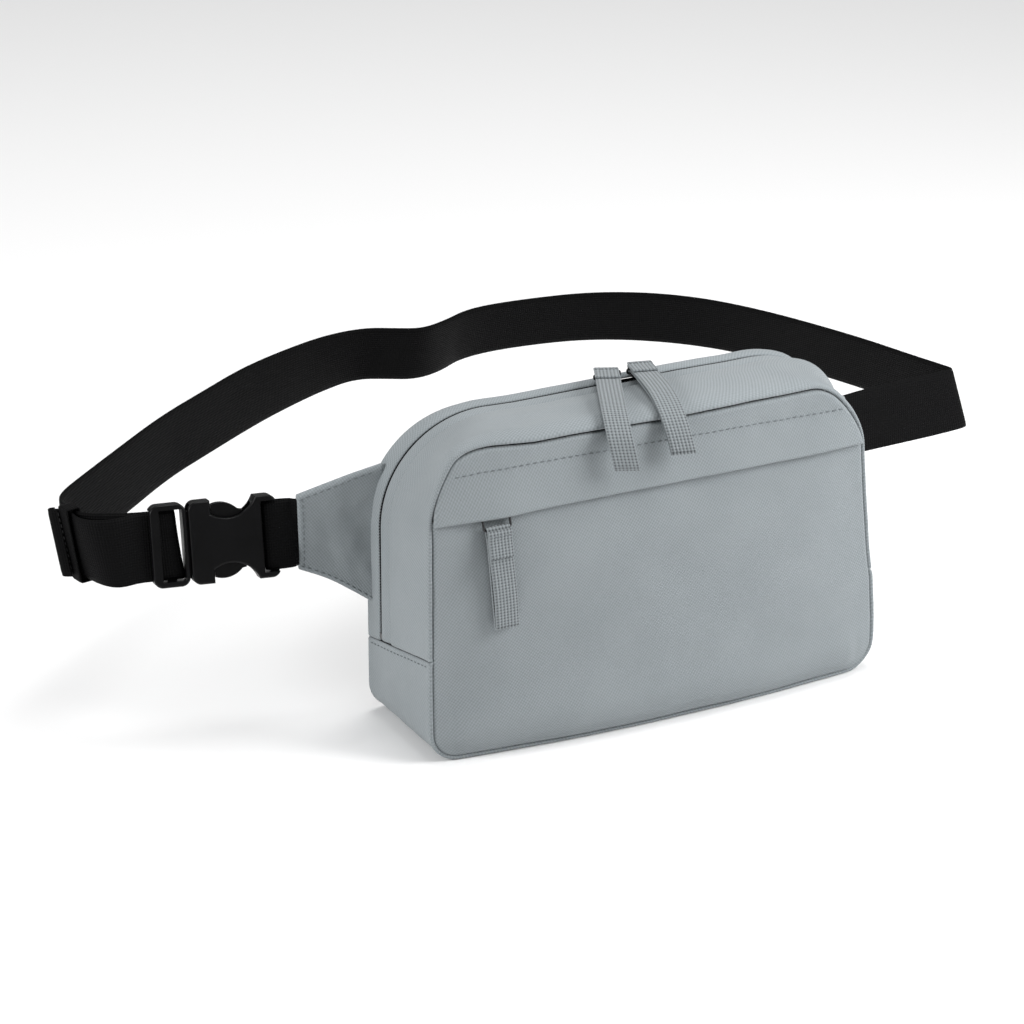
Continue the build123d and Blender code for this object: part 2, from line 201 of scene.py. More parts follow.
def moulded_acetal():
    """Black acetal, injection moulded with a fine spark-eroded texture: satin, edges catch a soft light."""
    made, tree, shader = surface("moulded_acetal_black", 0.42, Specular_IOR_Level=0.16, IOR=1.48)
    where = add(tree, OBJECT, out="Object")
    grain = add(tree, NOISE, {"Vector": where, **blotches(0.0006, 2.0, 0.6)})
    flow = add(tree, NOISE, {"Vector": where, **blotches(0.012)})
    rough = weighed(tree, (grain, 0.16), (flow, 0.08))
    rough = add(tree, MATH, {0: rough, 1: 0.26}, operation="ADD")
    shaded(tree, shader, flow, "020202", "08080A", grain, 0.00006, 0.5, rough)
    return made


def enamelled_zinc():
    """Die-cast zinc under black baked enamel: glossier than the buckle, thin and worn grey at the edges."""
    made, tree, shader = surface("enamelled_zinc_black", 0.3, Specular_IOR_Level=0.5, Coat_Weight=0.25,
                                 Coat_Roughness=0.15)
    where = add(tree, OBJECT, out="Object")
    orange_peel = add(tree, NOISE, {"Vector": where, **blotches(0.0012)})
    edges = add(tree, "ShaderNodeNewGeometry", out="Pointiness")
    worn = add(tree, MATH, {0: edges, 1: 3.0}, operation="POWER")
    rough = add(tree, MATH, {0: orange_peel, 1: 0.2, 2: 0.2}, operation="MULTIPLY_ADD")
    shaded(tree, shader, weighed(tree, (orange_peel, 0.4), (worn, 0.8)), "070708", "2C2D2F", orange_peel,
           0.00005, 0.4, rough)
    return made


def fine_tape(name, dark, light, period, direction="X", depth=0.00015, roughness=0.75):
    """Thin black textile or coil whose ribs, about a millimetre apart, follow the bag's own axes."""
    made, tree, shader = surface(name, roughness, Specular_IOR_Level=0.2)
    where = add(tree, OBJECT, out="Object")
    ribs = add(tree, WAVE, {"Vector": where, **bands(period, 0.3)}, out=1, bands_direction=direction)
    wool = add(tree, NOISE, {"Vector": where, **blotches(0.0012)})
    shade = weighed(tree, (ribs, 0.6), (wool, 0.4))
    shaded(tree, shader, shade, dark, light, shade, depth, 0.8)
    return made


def spacer_mesh():
    """Black knitted spacer fabric, 3 mm thick with open hexagonal cells: soft, dull and full of holes."""
    made, tree, shader = surface("knitted_spacer_black", 0.85, Specular_IOR_Level=0.15)
    where = add(tree, UV, uv_map="weave")
    cells = add(tree, CELLS, {"Vector": where, "Scale": 1 / 0.0026, "Randomness": 0.12},
                feature="DISTANCE_TO_EDGE")
    rim_of_hole = add(tree, RANGE, {"Value": cells, 1: 0.05, 2: 0.34, 3: 1.0, 4: 0.0})
    wool = add(tree, NOISE, {"Vector": where, **blotches(0.0008)})
    shade = weighed(tree, (rim_of_hole, 0.7), (wool, 0.3))
    shaded(tree, shader, shade, "060607", "323336", rim_of_hole, 0.0006, 0.9)
    return made


def twisted_thread(name, dark, light):
    """Bonded nylon sewing thread, two plies twisted: small round stitches, slightly glossier than cloth."""
    made, tree, shader = surface(name, 0.6, Specular_IOR_Level=0.3)
    where = add(tree, OBJECT, out="Object")
    twist = add(tree, NOISE, {"Vector": where, **blotches(0.0006, 1.0)})
    shaded(tree, shader, twist, dark, light, twist, 0.0001, 0.5)
    return made


GREY_CLOTH = woven_polyester()
BELT_WEBBING = ribbed_webbing()
PULLER_TAPE = puller_tape()
ACETAL = moulded_acetal()
ZINC = enamelled_zinc()
SPACER = spacer_mesh()
ZIP_TAPE = fine_tape("woven_zip_tape_black", "08080A", "1C1C1F", 0.0012, "Y")
COIL = fine_tape("drawn_nylon_coil_black", "08080A", "222224", 0.0013, "X", 0.0001, 0.4)
LINING = fine_tape("taffeta_lining_black", "101012", "26262A", 0.0009, "Z", 0.0001, 0.6)
BINDING = fine_tape("grosgrain_binding_black", "0C0C0D", "222224", 0.0011, "Y", 0.00025)
GREY_THREAD = twisted_thread("bonded_nylon_thread_grey", "565C5F", "767C7F")
DARK_THREAD = twisted_thread("bonded_nylon_thread_black", "070708", "1B1B1D")


# --- meshes -----------------------------------------------------------------------------------------
def metres(points):
    """World places of points in millimetres above the seam line."""
    return (np.asarray(points, float) + [0.0, 0.0, UNDERSIDE]) * MM


def unit(vectors):
    """Each vector at length 1."""
    return vectors / np.linalg.norm(vectors, axis=-1, keepdims=True)


def travelled(points):
    """Distance along a polyline at each of its points."""
    return np.concatenate([[0], np.cumsum(np.linalg.norm(np.diff(points, axis=0), axis=1))])


def linked(name, data):
    """A new object in the scene."""
    made = bpy.data.objects.new(name, data)
    bpy.context.scene.collection.objects.link(made)
    return made


def piece(name, points, faces, material, uv=None):
    """A mesh object at the origin, from points in millimetres; uv holds each point's map place, in mm."""
    mesh = bpy.data.meshes.new(name)
    mesh.from_pydata(metres(points).tolist(), [], [tuple(int(i) for i in f) for f in faces])
    mesh.polygons.foreach_set("use_smooth", [True] * len(mesh.polygons))
    if uv is not None:
        layer = mesh.uv_layers.new(name="weave")
        loops = np.zeros(len(mesh.loops), int)
        mesh.loops.foreach_get("vertex_index", loops)
        layer.data.foreach_set("uv", (np.asarray(uv, float)[loops] * MM).ravel())
    mesh.materials.append(material)
    return linked(name, mesh)


def grid_faces(rows, columns, close_rows=False, close_columns=False):
    """Quads of a grid whose points are listed row by row."""
    found = []
    for i in range(rows if close_rows else rows - 1):
        for j in range(columns if close_columns else columns - 1):
            a, b = i * columns + j, i * columns + (j + 1) % columns
            c, d = ((i + 1) % rows) * columns + (j + 1) % columns, ((i + 1) % rows) * columns + j
            found.append((a, b, c, d))
    return found


def caps(rows, count):
    """The two end faces of such a grid when its columns are closed."""
    return [tuple(range(count)), tuple(range((rows - 1) * count, rows * count))[::-1]]


def baked(made):
    """The object with its modifiers turned into plain mesh."""
    graph = bpy.context.evaluated_depsgraph_get()
    final = bpy.data.meshes.new_from_object(made.evaluated_get(graph))
    made.modifiers.clear()
    old = made.data
    made.data = final
    bpy.data.meshes.remove(old)
    return made


def outward(made, weld=False):
    """Faces of a closed mesh turned to point outwards."""
    work = bmesh.new()
    work.from_mesh(made.data)
    if weld:
        bmesh.ops.remove_doubles(work, verts=work.verts, dist=1e-6)
    bmesh.ops.recalc_face_normals(work, faces=work.faces)
    work.to_mesh(made.data)
    work.free()
    return made


def thicken(made, thickness):
    """Gives an outward-facing sheet a wall that grows inwards, in millimetres."""
    solid = made.modifiers.new("wall", "SOLIDIFY")
    solid.thickness = thickness * MM
    solid.offset = -1.0
    return baked(made)


def on(made, body, slot, *nodes):
    """Rides the piece on its body and lets it stand for CAD nodes. slot is not used."""
    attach(made, body)
    if nodes:
        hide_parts(*nodes)
    return made


# --- stitches and teeth -----------------------------------------------------------------------------
def row_along_path():
    """Geometry Nodes: rounded shapes at an even pitch along a path, each lying along it, slightly turned."""
    tree = bpy.data.node_groups.new("row_along_path", "GeometryNodeTree")
    for label, kind in (("Path", "Geometry"), ("Pitch", "Float"), ("Length", "Float"), ("Width", "Float"),
                        ("Turn", "Float"), ("Seed", "Int"), ("Material", "Material")):
        tree.interface.new_socket(label, in_out="INPUT", socket_type="NodeSocket" + kind)
    tree.interface.new_socket("Row", in_out="OUTPUT", socket_type="NodeSocketGeometry")
    given = tree.nodes.new("NodeGroupInput").outputs
    line = add(tree, "GeometryNodeMeshToCurve", {"Mesh": given["Path"]})
    points = add(tree, "GeometryNodeCurveToPoints", {"Curve": line, "Length": given["Pitch"]}, mode="LENGTH")
    facing_way = points.node.outputs["Rotation"]
    shape = add(tree, "GeometryNodeMeshUVSphere", {"Segments": 6, "Rings": 4, "Radius": 0.5})
    size = add(tree, "ShaderNodeCombineXYZ", {0: given["Width"], 1: given["Width"], 2: given["Length"]})
    row = add(tree, "GeometryNodeInstanceOnPoints", {"Points": points, "Instance": shape,
                                                     "Rotation": facing_way, "Scale": size})
    chance = add(tree, "FunctionNodeRandomValue", {0: (-1, -1, -1), 1: (1, 1, 1), "Seed": given["Seed"]},
                 data_type="FLOAT_VECTOR")
    turn = add(tree, "ShaderNodeVectorMath", {0: chance, "Scale": given["Turn"]}, operation="SCALE")
    row = add(tree, "GeometryNodeRotateInstances", {"Instances": row, "Rotation": turn})
    row = add(tree, "GeometryNodeRealizeInstances", {"Geometry": row})
    row = add(tree, "GeometryNodeSetMaterial", {"Geometry": row, "Material": given["Material"]})
    end = tree.nodes.new("NodeGroupOutput")
    tree.links.new(row, end.inputs[0])
    return tree


ROW = row_along_path()


def row_of(name, paths, pitch, length, width, material, turn=0.07):
    """One plain mesh with a row of shapes along each path; paths and sizes are in millimetres."""
    mesh = bpy.data.meshes.new(name)
    places, edges = [], []
    for path in paths:
        start = len(places)
        places += [tuple(p) for p in metres(path)]
        edges += [(k, k + 1) for k in range(start, len(places) - 1)]
    mesh.from_pydata(places, edges, [])
    made = linked(name, mesh)
    nodes = made.modifiers.new("row", "NODES")
    nodes.node_group = ROW
    given = {"Pitch": pitch * MM, "Length": length * MM, "Width": width * MM, "Turn": turn, "Seed": 4,
             "Material": material}
    for socket in ROW.interface.items_tree:
        if socket.name in given:
            nodes[socket.identifier] = given[socket.name]
    baked(made)
    made.data.polygons.foreach_set("use_smooth", [True] * len(made.data.polygons))
    return made


def laid_on(made, path, way, lift=0.12):
    """The path moved along way until it meets the piece, then raised lift mm off its surface."""
    tree = BVHTree.FromPolygons([v.co for v in made.data.vertices],
                                [tuple(p.vertices) for p in made.data.polygons])
    found = []
    for p in np.asarray(path, float):
        place, normal, _, _ = tree.ray_cast(Vector(metres(p)), Vector(way))
        if place is not None:
            found.append(np.array(place + normal * lift * MM) / MM - [0, 0, UNDERSIDE])
    return np.array(found)


def straight(a, b, step=1.0):
    """Evenly spaced points from a to b."""
    a, b = np.array(a, float), np.array(b, float)
    return a + (b - a) * np.linspace(0, 1, max(3, int(np.linalg.norm(b - a) / step)))[:, None]


# --- the bag's outline ------------------------------------------------------------------------------
def station(y):
    """Height and top corner radius of the outline at depth y."""
    return np.interp(y, STATION_Y, STATION_HEIGHT), np.interp(y, STATION_Y, STATION_RADIUS)


def cross_seam_height(y):
    return np.interp(y, (-32.0, 32.0), (CROSS_SEAM_FRONT_Z, CROSS_SEAM_BACK_Z))


def rim(y, shares, upper=True):
    """Points and normals in XZ round the outline at depth y, with shares of each run of the outline."""
    height, radius = station(y)
    seam = cross_seam_height(y)
    half, low = HALF_WIDTH, BOTTOM_RADIUS
    if upper:
        runs = [((-half, seam), (-half, height - radius)),
                ((-half + radius, height - radius), radius, 180, 90),
                ((-half + radius, height), (half - radius, height)),
                ((half - radius, height - radius), radius, 90, 0), ((half, height - radius), (half, seam))]
    else:
        base = low - UNDERSIDE
        runs = [((half, seam), (half, base)), ((half - low, base), low, 0, -90),
                ((half - low, -UNDERSIDE), (-half + low, -UNDERSIDE)), ((-half + low, base), low, 270, 180),
                ((-half, base), (-half, seam))]
    points, normals = [], []
    for run, part in zip(runs, shares):
        part = np.asarray(part)[:, None]
        if len(run) == 2:
            a, b = np.array(run[0]), np.array(run[1])
            points.append(a + (b - a) * part)
            way = unit(b - a)
            normals.append(np.repeat([[-way[1], way[0]]], len(part), 0))
        else:
            centre, radius_here, start, end = run
            angle = np.radians(start + (end - start) * part[:, 0])
            spoke = np.column_stack([np.cos(angle), np.sin(angle)])
            points.append(np.array(centre) + radius_here * spoke)
            normals.append(spoke)
    return np.vstack(points), np.vstack(normals)


def even_shares(counts):
    """Shares that cut each run into so many even steps."""
    shares = [np.arange(n) / n for n in counts]
    shares[-1] = np.append(shares[-1], 1.0)
    return shares


def rim_shares(spacing, upper=True):
    """Shares of each run that leave about spacing mm between points."""
    lengths = (60, 70, 120, 70, 60) if upper else (34, 20.4, 194, 20.4, 34)
    return even_shares([max(3, round(length / spacing)) for length in lengths])


def along_rim(shares, upper=True):
    """Distance along the outline at mid depth of every point that rim gives."""
    return travelled(rim(0.0, shares, upper)[0])


def inside_outline(x, z, y):
    """How far a point lies inside the outline at depth y."""
    height, top_radius = station(y)
    radius = np.where(z > height / 2, top_radius, BOTTOM_RADIUS)
    from_side = np.abs(x) - (HALF_WIDTH - radius)
    from_end = np.where(z > height / 2, z - (height - radius), radius - UNDERSIDE - z)
    corner = np.hypot(np.maximum(from_side, 0), np.maximum(from_end, 0))
    return radius - (corner + np.minimum(np.maximum(from_side, from_end), 0))


SAG = ((-110, -80, -45, -10, 20, 35, 50, 65, 85, 110),
       (0, -1.4, -2.8, -2.6, -2.3, -2.1, -2.3, -2.6, -2.4, 0))
LIFT = ((-110, -106, -98, -84, -60, 0, 35, 65, 85, 110), (0, 4.4, 7.0, 4.8, 2.8, 1.8, 1.7, 2.0, 2.2, 0))
LEAN = ((10, 40, 75, 100, 120), (0, -0.4, -4.0, -6.0, -6.8))
SHOULDER = (58.0, 86.0)         # where, in X and Z, the right shoulder starts to stand out
SQUARE, FOOT_BOW, FOOT_SPREAD = 7.0, 7.0, 2.0


def eased(share):
    """A smooth step from 0 to 1."""
    share = np.clip(share, 0, 1)
    return share ** 2 * (3 - 2 * share)


def settle(points):
    """The soft bag's own set: behind, its top sags left of the middle and its right shoulder is squarer; in
    front, its top left corner stands up, its right side leans in and its foot bows out."""
    points = np.array(points, float)
    x, y, z = points.T
    behind = np.clip((y + 24) / 28, 0, 1)
    lift = np.interp(x, *SAG) * behind * eased((z - 92) / 30)
    lift += np.interp(x, *LIFT) * (1 - behind) * eased((z - 109) / 22)
    lean = np.interp(z, *LEAN) * np.clip((x - 30) / 70, 0, 1) ** 1.5 * (1 - behind)
    bow = np.clip(1 - (x / 106) ** 2, 0, 1) * np.exp(-((z + 4) / 42) ** 2) * np.clip(-y / 32, 0, 1) ** 2
    dx, dz = np.maximum(x - SHOULDER[0], 0), np.maximum(z - SHOULDER[1], 0)
    reach = np.hypot(dx, dz) + 1e-6
    square = SQUARE * (2 * dx * dz / reach ** 2) ** 2 * np.clip(reach / 52, 0, 1) ** 2 * behind
    points[:, 0] += lean + square * dx / reach
    points[:, 0] += FOOT_SPREAD * np.exp(-((z - 18) / 26) ** 2) * np.clip((x - 60) / 50, 0, 1) ** 2
    points[:, 1] -= FOOT_BOW * bow
    points[:, 2] += lift + square * dz / reach
    return points


# --- panels cut to the outline ------------------------------------------------------------------------
def edge_between(points, shares):
    """The polyline's points at shares of its own length."""
    known = travelled(points)
    known /= known[-1]
    return np.column_stack([np.interp(shares, known, points[:, k]) for k in range(points.shape[1])])


def patch(edges, s, t):
    """Grid of points between four edges, whose own points lie at shares s across and t up."""
    bottom, top, left, right = edges
    s, t = s[None, :, None], t[:, None, None]
    ruled = (1 - t) * bottom[None] + t * top[None] + (1 - s) * left[:, None] + s * right[:, None]
    corners = (1 - s) * (1 - t) * bottom[0] + s * (1 - t) * bottom[-1]
    return ruled - corners - (1 - s) * t * top[0] - s * t * top[-1]


def arc_points(centre, radius, start, end, count=24):
    angle = np.radians(np.linspace(start, end, count))
    return np.column_stack([centre[0] + radius * np.cos(angle), centre[1] + radius * np.sin(angle)])


def panel_edges(y, inset, low=None, high=None):
    """Bottom, top, left and right edges in XZ of a panel, inset from the outline. Where low or high is
    left out the panel ends at the outline, and its corners are the middles of the corner arcs."""
    height, radius = station(y)
    half, big, small = HALF_WIDTH - inset, radius - inset, BOTTOM_RADIUS - inset
    top_centre = (HALF_WIDTH - radius, height - radius)
    low_centre = (HALF_WIDTH - BOTTOM_RADIUS, BOTTOM_RADIUS - UNDERSIDE)
    start = 0.0
    if low is None:
        right = [arc_points(low_centre, small, -45, 0)]
        corner = arc_points(low_centre, small, -90, -45)
        bottom = np.vstack([corner[::-1] * [-1, 1], corner])
    else:
        start = math.degrees(math.asin(max(0.0, (low - top_centre[1]) / big)))
        right = [arc_points(top_centre, big, start, start + 0.1, 2)[:1]]
        bottom = np.vstack([right[0] * [-1, 1], right[0]])
    if high is None:
        right.append(arc_points(top_centre, big, start + 0.2, 45, 40))
        corner = arc_points(top_centre, big, 45, 90, 40)
        top = np.vstack([corner * [-1, 1], corner[::-1]])
    else:
        right.append(np.array([[half, high]]))
        top = np.array([[-half, high], [half, high]])
    right = np.vstack(right)
    return bottom, top, right * [-1, 1], right


def graded(length, fine, coarse, reach=6.0):
    """Shares from 0 to 1, close together within reach of both ends."""
    places = [0.0]
    while places[-1] < length / 2:
        step = fine + (coarse - fine) * min(1.0, max(0.0, (places[-1] - 0.4 * reach) / reach))
        places.append(places[-1] + step)
    first = np.array(places) * (length / 2) / places[-1]
    return np.concatenate([first, (length - first[:-1])[::-1]]) / length


def panel_grid(y, inset, low=None, high=None, fine=0.5, coarse=2.6):
    """Fine grid of (x, z) over a panel, closer together along its seams."""
    bottom, top, left, right = panel_edges(y, inset, low, high)
    tall = np.linalg.norm(np.diff(right, axis=0), axis=1).sum()
    s, t = graded(2 * HALF_WIDTH, fine, coarse), graded(tall, fine, coarse)
    edges = [edge_between(bottom, s), edge_between(top, s), edge_between(left, t), edge_between(right, t)]
    return patch(edges, s, t)


# --- cloth simulation: a closed coarse bag, sewn at its seams, blown up a little ---------------------
def soft_noise(points, size, seed=0):
    """Smooth noise from -1 to 1 at each point, with blobs of about size mm."""
    shift = Vector((seed * 17.3, seed * 5.1, seed * 9.7))
    return np.array([noise.noise(Vector(p) / size + shift) for p in points])


def as3(xz, y):
    return np.column_stack([xz[:, 0], np.broadcast_to(y, len(xz)), xz[:, 1]])


SIM_DEPTHS = (-32.0, -27.0, -21.0, -14.0, -7.0, 0.0, 7.0, 13.0, 19.0, 25.0, 32.0)
SIM_RUNS = (10, 10, 24, 10, 10)
SIM_LOW_RUNS = (5, 4, 30, 4, 5)
SIM_STEPS = 20
LOWER_MAP = 1000                # added to lengths along the foot, to keep its map away from the gusset's
SIM_CLOTH = {"quality": 6, "mass": 0.12, "tension_stiffness": 12, "compression_stiffness": 6,
             "shear_stiffness": 4, "bending_stiffness": 0.15, "air_damping": 2.0, "use_pressure": True,
             "uniform_pressure_force": 4.0, "vertex_group_mass": "held", "shrink_min": -0.015}


def sewn_bag():
    """Closed coarse mesh of the whole bag: points, faces, the outward way at each point, and the rows."""
    upper, lower = even_shares(SIM_RUNS), even_shares(SIM_LOW_RUNS)
    points, ways = [], []
    for y in SIM_DEPTHS:
        (a, an), (b, bn) = rim(y, upper), rim(y, lower, False)
        points.append(as3(np.vstack([a, b[1:-1]]), y))
        ways.append(as3(np.vstack([an, bn[1:-1]]), 0.0))
    count = len(points[0])
    faces = grid_faces(len(SIM_DEPTHS), count, close_columns=True)
    points, ways = list(np.vstack(points)), list(np.vstack(ways))
    side, arc, run = SIM_RUNS[:3]
    low_side, low_arc, low_run = SIM_LOW_RUNS[:3]
    top_left = side + arc // 2
    top_right = top_left + arc + run
    low_right = sum(SIM_RUNS) + low_side + low_arc // 2
    low_left = low_right + low_arc + low_run
    ends = []
    for row, y, way in ((0, FRONT_Y, -1.0), (len(SIM_DEPTHS) - 1, BACK_Y, 1.0)):
        start = row * count
        around = [start + i % count for i in range(2 * count)]
        edges = [around[low_right:low_left + 1][::-1], around[top_left:top_right + 1],
                 around[low_left:top_left + count + 1], around[top_right:low_right + 1][::-1]]
        grid = patch([np.array([points[i] for i in edge]) for edge in edges],
                     np.linspace(0, 1, len(edges[0])), np.linspace(0, 1, len(edges[2])))
        rows, columns = grid.shape[:2]
        index = np.zeros((rows, columns), int)
        index[0], index[-1], index[:, 0], index[:, -1] = edges
        for i in range(1, rows - 1):
            for j in range(1, columns - 1):
                index[i, j] = len(points)
                points.append(grid[i, j])
                ways.append(np.array([0.0, way, 0.0]))
        flat = index.ravel()
        faces += [tuple(flat[k] for k in f) for f in grid_faces(rows, columns)]
        ends.append(flat)
    return np.array(points), faces, np.array(ways), count, ends


def blown_bag():
    """Cloth, with pressure and no gravity, on the sewn bag. Each zone gets its points' places on a flat
    map and how far they moved outwards: the gusset by (length along it, depth), the panels by (x, z)."""
    points, faces, ways, count, ends = sewn_bag()
    blank = piece("bag_for_simulation", points, faces, GREY_CLOTH)
    outward(blank, weld=True)
    held = blank.vertex_groups.new(name="held")
    y, z = points.T[1:]
    firm = np.zeros(len(points))
    ring = np.arange(len(points)) < count * len(SIM_DEPTHS)
    firm[ring & ((np.abs(y - FRONT_Y) < 0.1) | (np.abs(y - BACK_Y) < 0.1))] = 1.0
    firm[ring & (np.abs(y - ZIP_Y) < 0.1) & (z > 40)] = 1.0
    firm[ring & (np.abs(z - cross_seam_height(y)) < 2.5)] = 0.5
    firm[z < -UNDERSIDE + 0.5] = np.maximum(firm[z < -UNDERSIDE + 0.5], 0.8)
    firm[~ring & (np.abs(z - FLAP_FOLD_Z) < 4) & (y < 0)] = 0.12
    for i in np.nonzero(firm)[0]:
        held.add([int(i)], float(firm[i]), "REPLACE")
    cloth = blank.modifiers.new("cloth", "CLOTH")
    settings = cloth.settings
    for key, given in SIM_CLOTH.items():
        setattr(settings, key, given)
    settings.effector_weights.gravity = 0.0
    cloth.point_cache.frame_start = 1
    cloth.point_cache.frame_end = SIM_STEPS
    scene = bpy.context.scene
    for step in range(1, SIM_STEPS + 1):
        scene.frame_set(step)
    graph = bpy.context.evaluated_depsgraph_get()
    moved_mesh = blank.evaluated_get(graph).to_mesh()
    moved = np.zeros(len(points) * 3)
    moved_mesh.vertices.foreach_get("co", moved)
    moved = moved.reshape(-1, 3) / MM
    scene.frame_set(1)
    bpy.data.objects.remove(blank)
    out = ((moved - points) * ways).sum(1)
    length = np.concatenate([along_rim(even_shares(SIM_RUNS)),
                             along_rim(even_shares(SIM_LOW_RUNS), False)[1:-1] + LOWER_MAP])
    last = count * len(SIM_DEPTHS)
    zones = {"gusset": (np.column_stack([np.tile(length, len(SIM_DEPTHS)), y[:last]]), out[:last])}
    for name, members in zip(("front", "back"), ends):
        depth = np.abs(moved[members, 1] - points[members, 1]) * np.where(firm[members] >= 1, 0, 1)
        zones[name] = (points[members][:, [0, 2]], depth)
    return zones


ZONES = blown_bag()


def swell(zone, places, reach, most, plain):
    """How far the simulated cloth stands out at places on the zone's flat map: the simulation's own
    field, averaged over reach mm and capped at most mm."""
    if ZONES is None:
        return plain
    known, out = ZONES[zone]
    found = np.zeros(len(places))
    for start in range(0, len(places), 4000):
        part = places[start:start + 4000]
        gap = ((part[:, None, :] - known[None, :, :]) ** 2).sum(2)
        weight = np.exp(-gap / (2 * reach ** 2)) + 1e-12
        found[start:start + 4000] = (weight * out[None]).sum(1) / weight.sum(1)
    top = np.percentile(out, 97)
    return most * np.tanh(found / max(top, 1e-6) * 1.1)


def rolled(distance, reach, depth):
    """Depth of a cloth edge that rolls down into a seam, by distance from the seam."""
    share = np.clip(1 - distance / reach, 0, 1)
    return depth * (1 - np.sqrt(1 - share ** 2))


def bump_at(x, z, place, size, angle=0.0):
    """A soft oval, 1 at place."""
    c, s = math.cos(math.radians(angle)), math.sin(math.radians(angle))
    dx, dz = x - place[0], z - place[1]
    return np.exp(-((dx * c + dz * s) / size[0]) ** 2 - ((dz * c - dx * s) / size[1]) ** 2)


def wander(x, z, y):
    """How far a hand-guided seam strays from its line, mm."""
    places = as3(np.column_stack([x, z]), y)
    return 0.35 * soft_noise(places, 21, 3) + 0.5 * soft_noise(places, 55, 5)


def facing(made, way):
    """Turns every face over if the sheet looks away from way."""
    if sum(p.normal.dot(Vector(way[p.vertices[0]])) * p.area for p in made.data.polygons) < 0:
        made.data.flip_normals()
    return made


def panel(name, grid, flat, y, side, material, wall):
    """A sheet through the grid's flat places at depths y that faces side, -1 front or 1 back."""
    made = piece(name, settle(as3(flat, y)), grid_faces(*grid.shape[:2]), material, flat)
    facing(made, np.tile([0.0, side, 0.0], (len(flat), 1)))
    return thicken(made, wall)


DENTS = (((-92, 84), (16, 7), 35, 1.8), ((-70, 72), (22, 8), 30, -1.5), ((30, 99), (26, 6), -12, 1.1),
         ((96, 40), (12, 20), 10, -0.8), ((88, 22), (20, 10), 40, 1.3), ((-98, 20), (10, 16), 0, 0.8))


def front_panel(name, low, high, proud, node):
    """Half of the front: rolled into the seam at the outline, swollen and softly dented."""
    grid = panel_grid(FRONT_Y, 1.7, low, high)
    flat = grid.reshape(-1, 2)
    x, z = flat.T
    depth = inside_outline(x, z, FRONT_Y) - 1.7
    soft = 1 - np.exp(-np.clip(depth, 0, None) / (14 - 9 * np.clip((30 - z) / 20, 0, 1) * (np.abs(x) < 98)))
    puff = swell("front", flat, 7.0, 6.5, 6.5 * np.clip(depth / 45, 0, 1) ** 0.6)
    puff += 3.0 * np.exp(-((z - 7) / 13) ** 2) * np.clip(depth / 5, 0, 1) * (high is not None)
    places = as3(flat, FRONT_Y)
    y = FRONT_Y + rolled(depth, 1.7, 1.9) - puff * soft
    y += 0.28 * soft_noise(places * [0.7, 1, 1], 16, 1) * soft
    y += 0.10 * soft_noise(places, 5.5, 2) * np.exp(-depth / 9)
    if high is not None:
        for place, size, angle, much in DENTS:
            y += much * bump_at(x, z, place, size, angle)
        y += puff * soft * np.clip((z - 88) / 22, 0, 1) * 0.6 + 1.0 * np.clip((z - 98) / 8, 0, 1) * soft
    else:
        fold = np.clip(1 - (z - low) / 17, 0, 1)
        y -= proud * fold ** 1.5 - puff * soft * 0.45
        y += rolled(z - low, 0.7, 0.5)
        row = flap_row(x)
        y += 0.42 * np.exp(-((z - row) / 1.3) ** 2) * np.clip(depth / 6, 0, 1)
        y -= 0.35 * soft_noise(places * [1.0, 1, 0.4], 7.5, 7) * np.exp(-((z - row) / 7) ** 2)
        y += 0.8 * bump_at(x, z, (4, 131), (14, 5), 0)
        y -= 1.5 * bump_at(x, z, (-78, 109), (15, 9))
    shift = wander(x, z, FRONT_Y) * np.exp(-depth / 6)
    towards = np.column_stack([np.sign(x) * (np.abs(x) > 95), (z > 110) * 1.0 - (z < 8) * 1.0])
    flat = flat + towards * shift[:, None]
    return on(panel(name, grid, flat, y, -1.0, GREY_CLOTH, 1.0), "bag", "grey_cloth", node)


def flap_row(x):
    """Height of the row of stitches along the flap."""
    return 126.0 - 0.016 * x - 0.7 * np.interp(x, *LIFT)


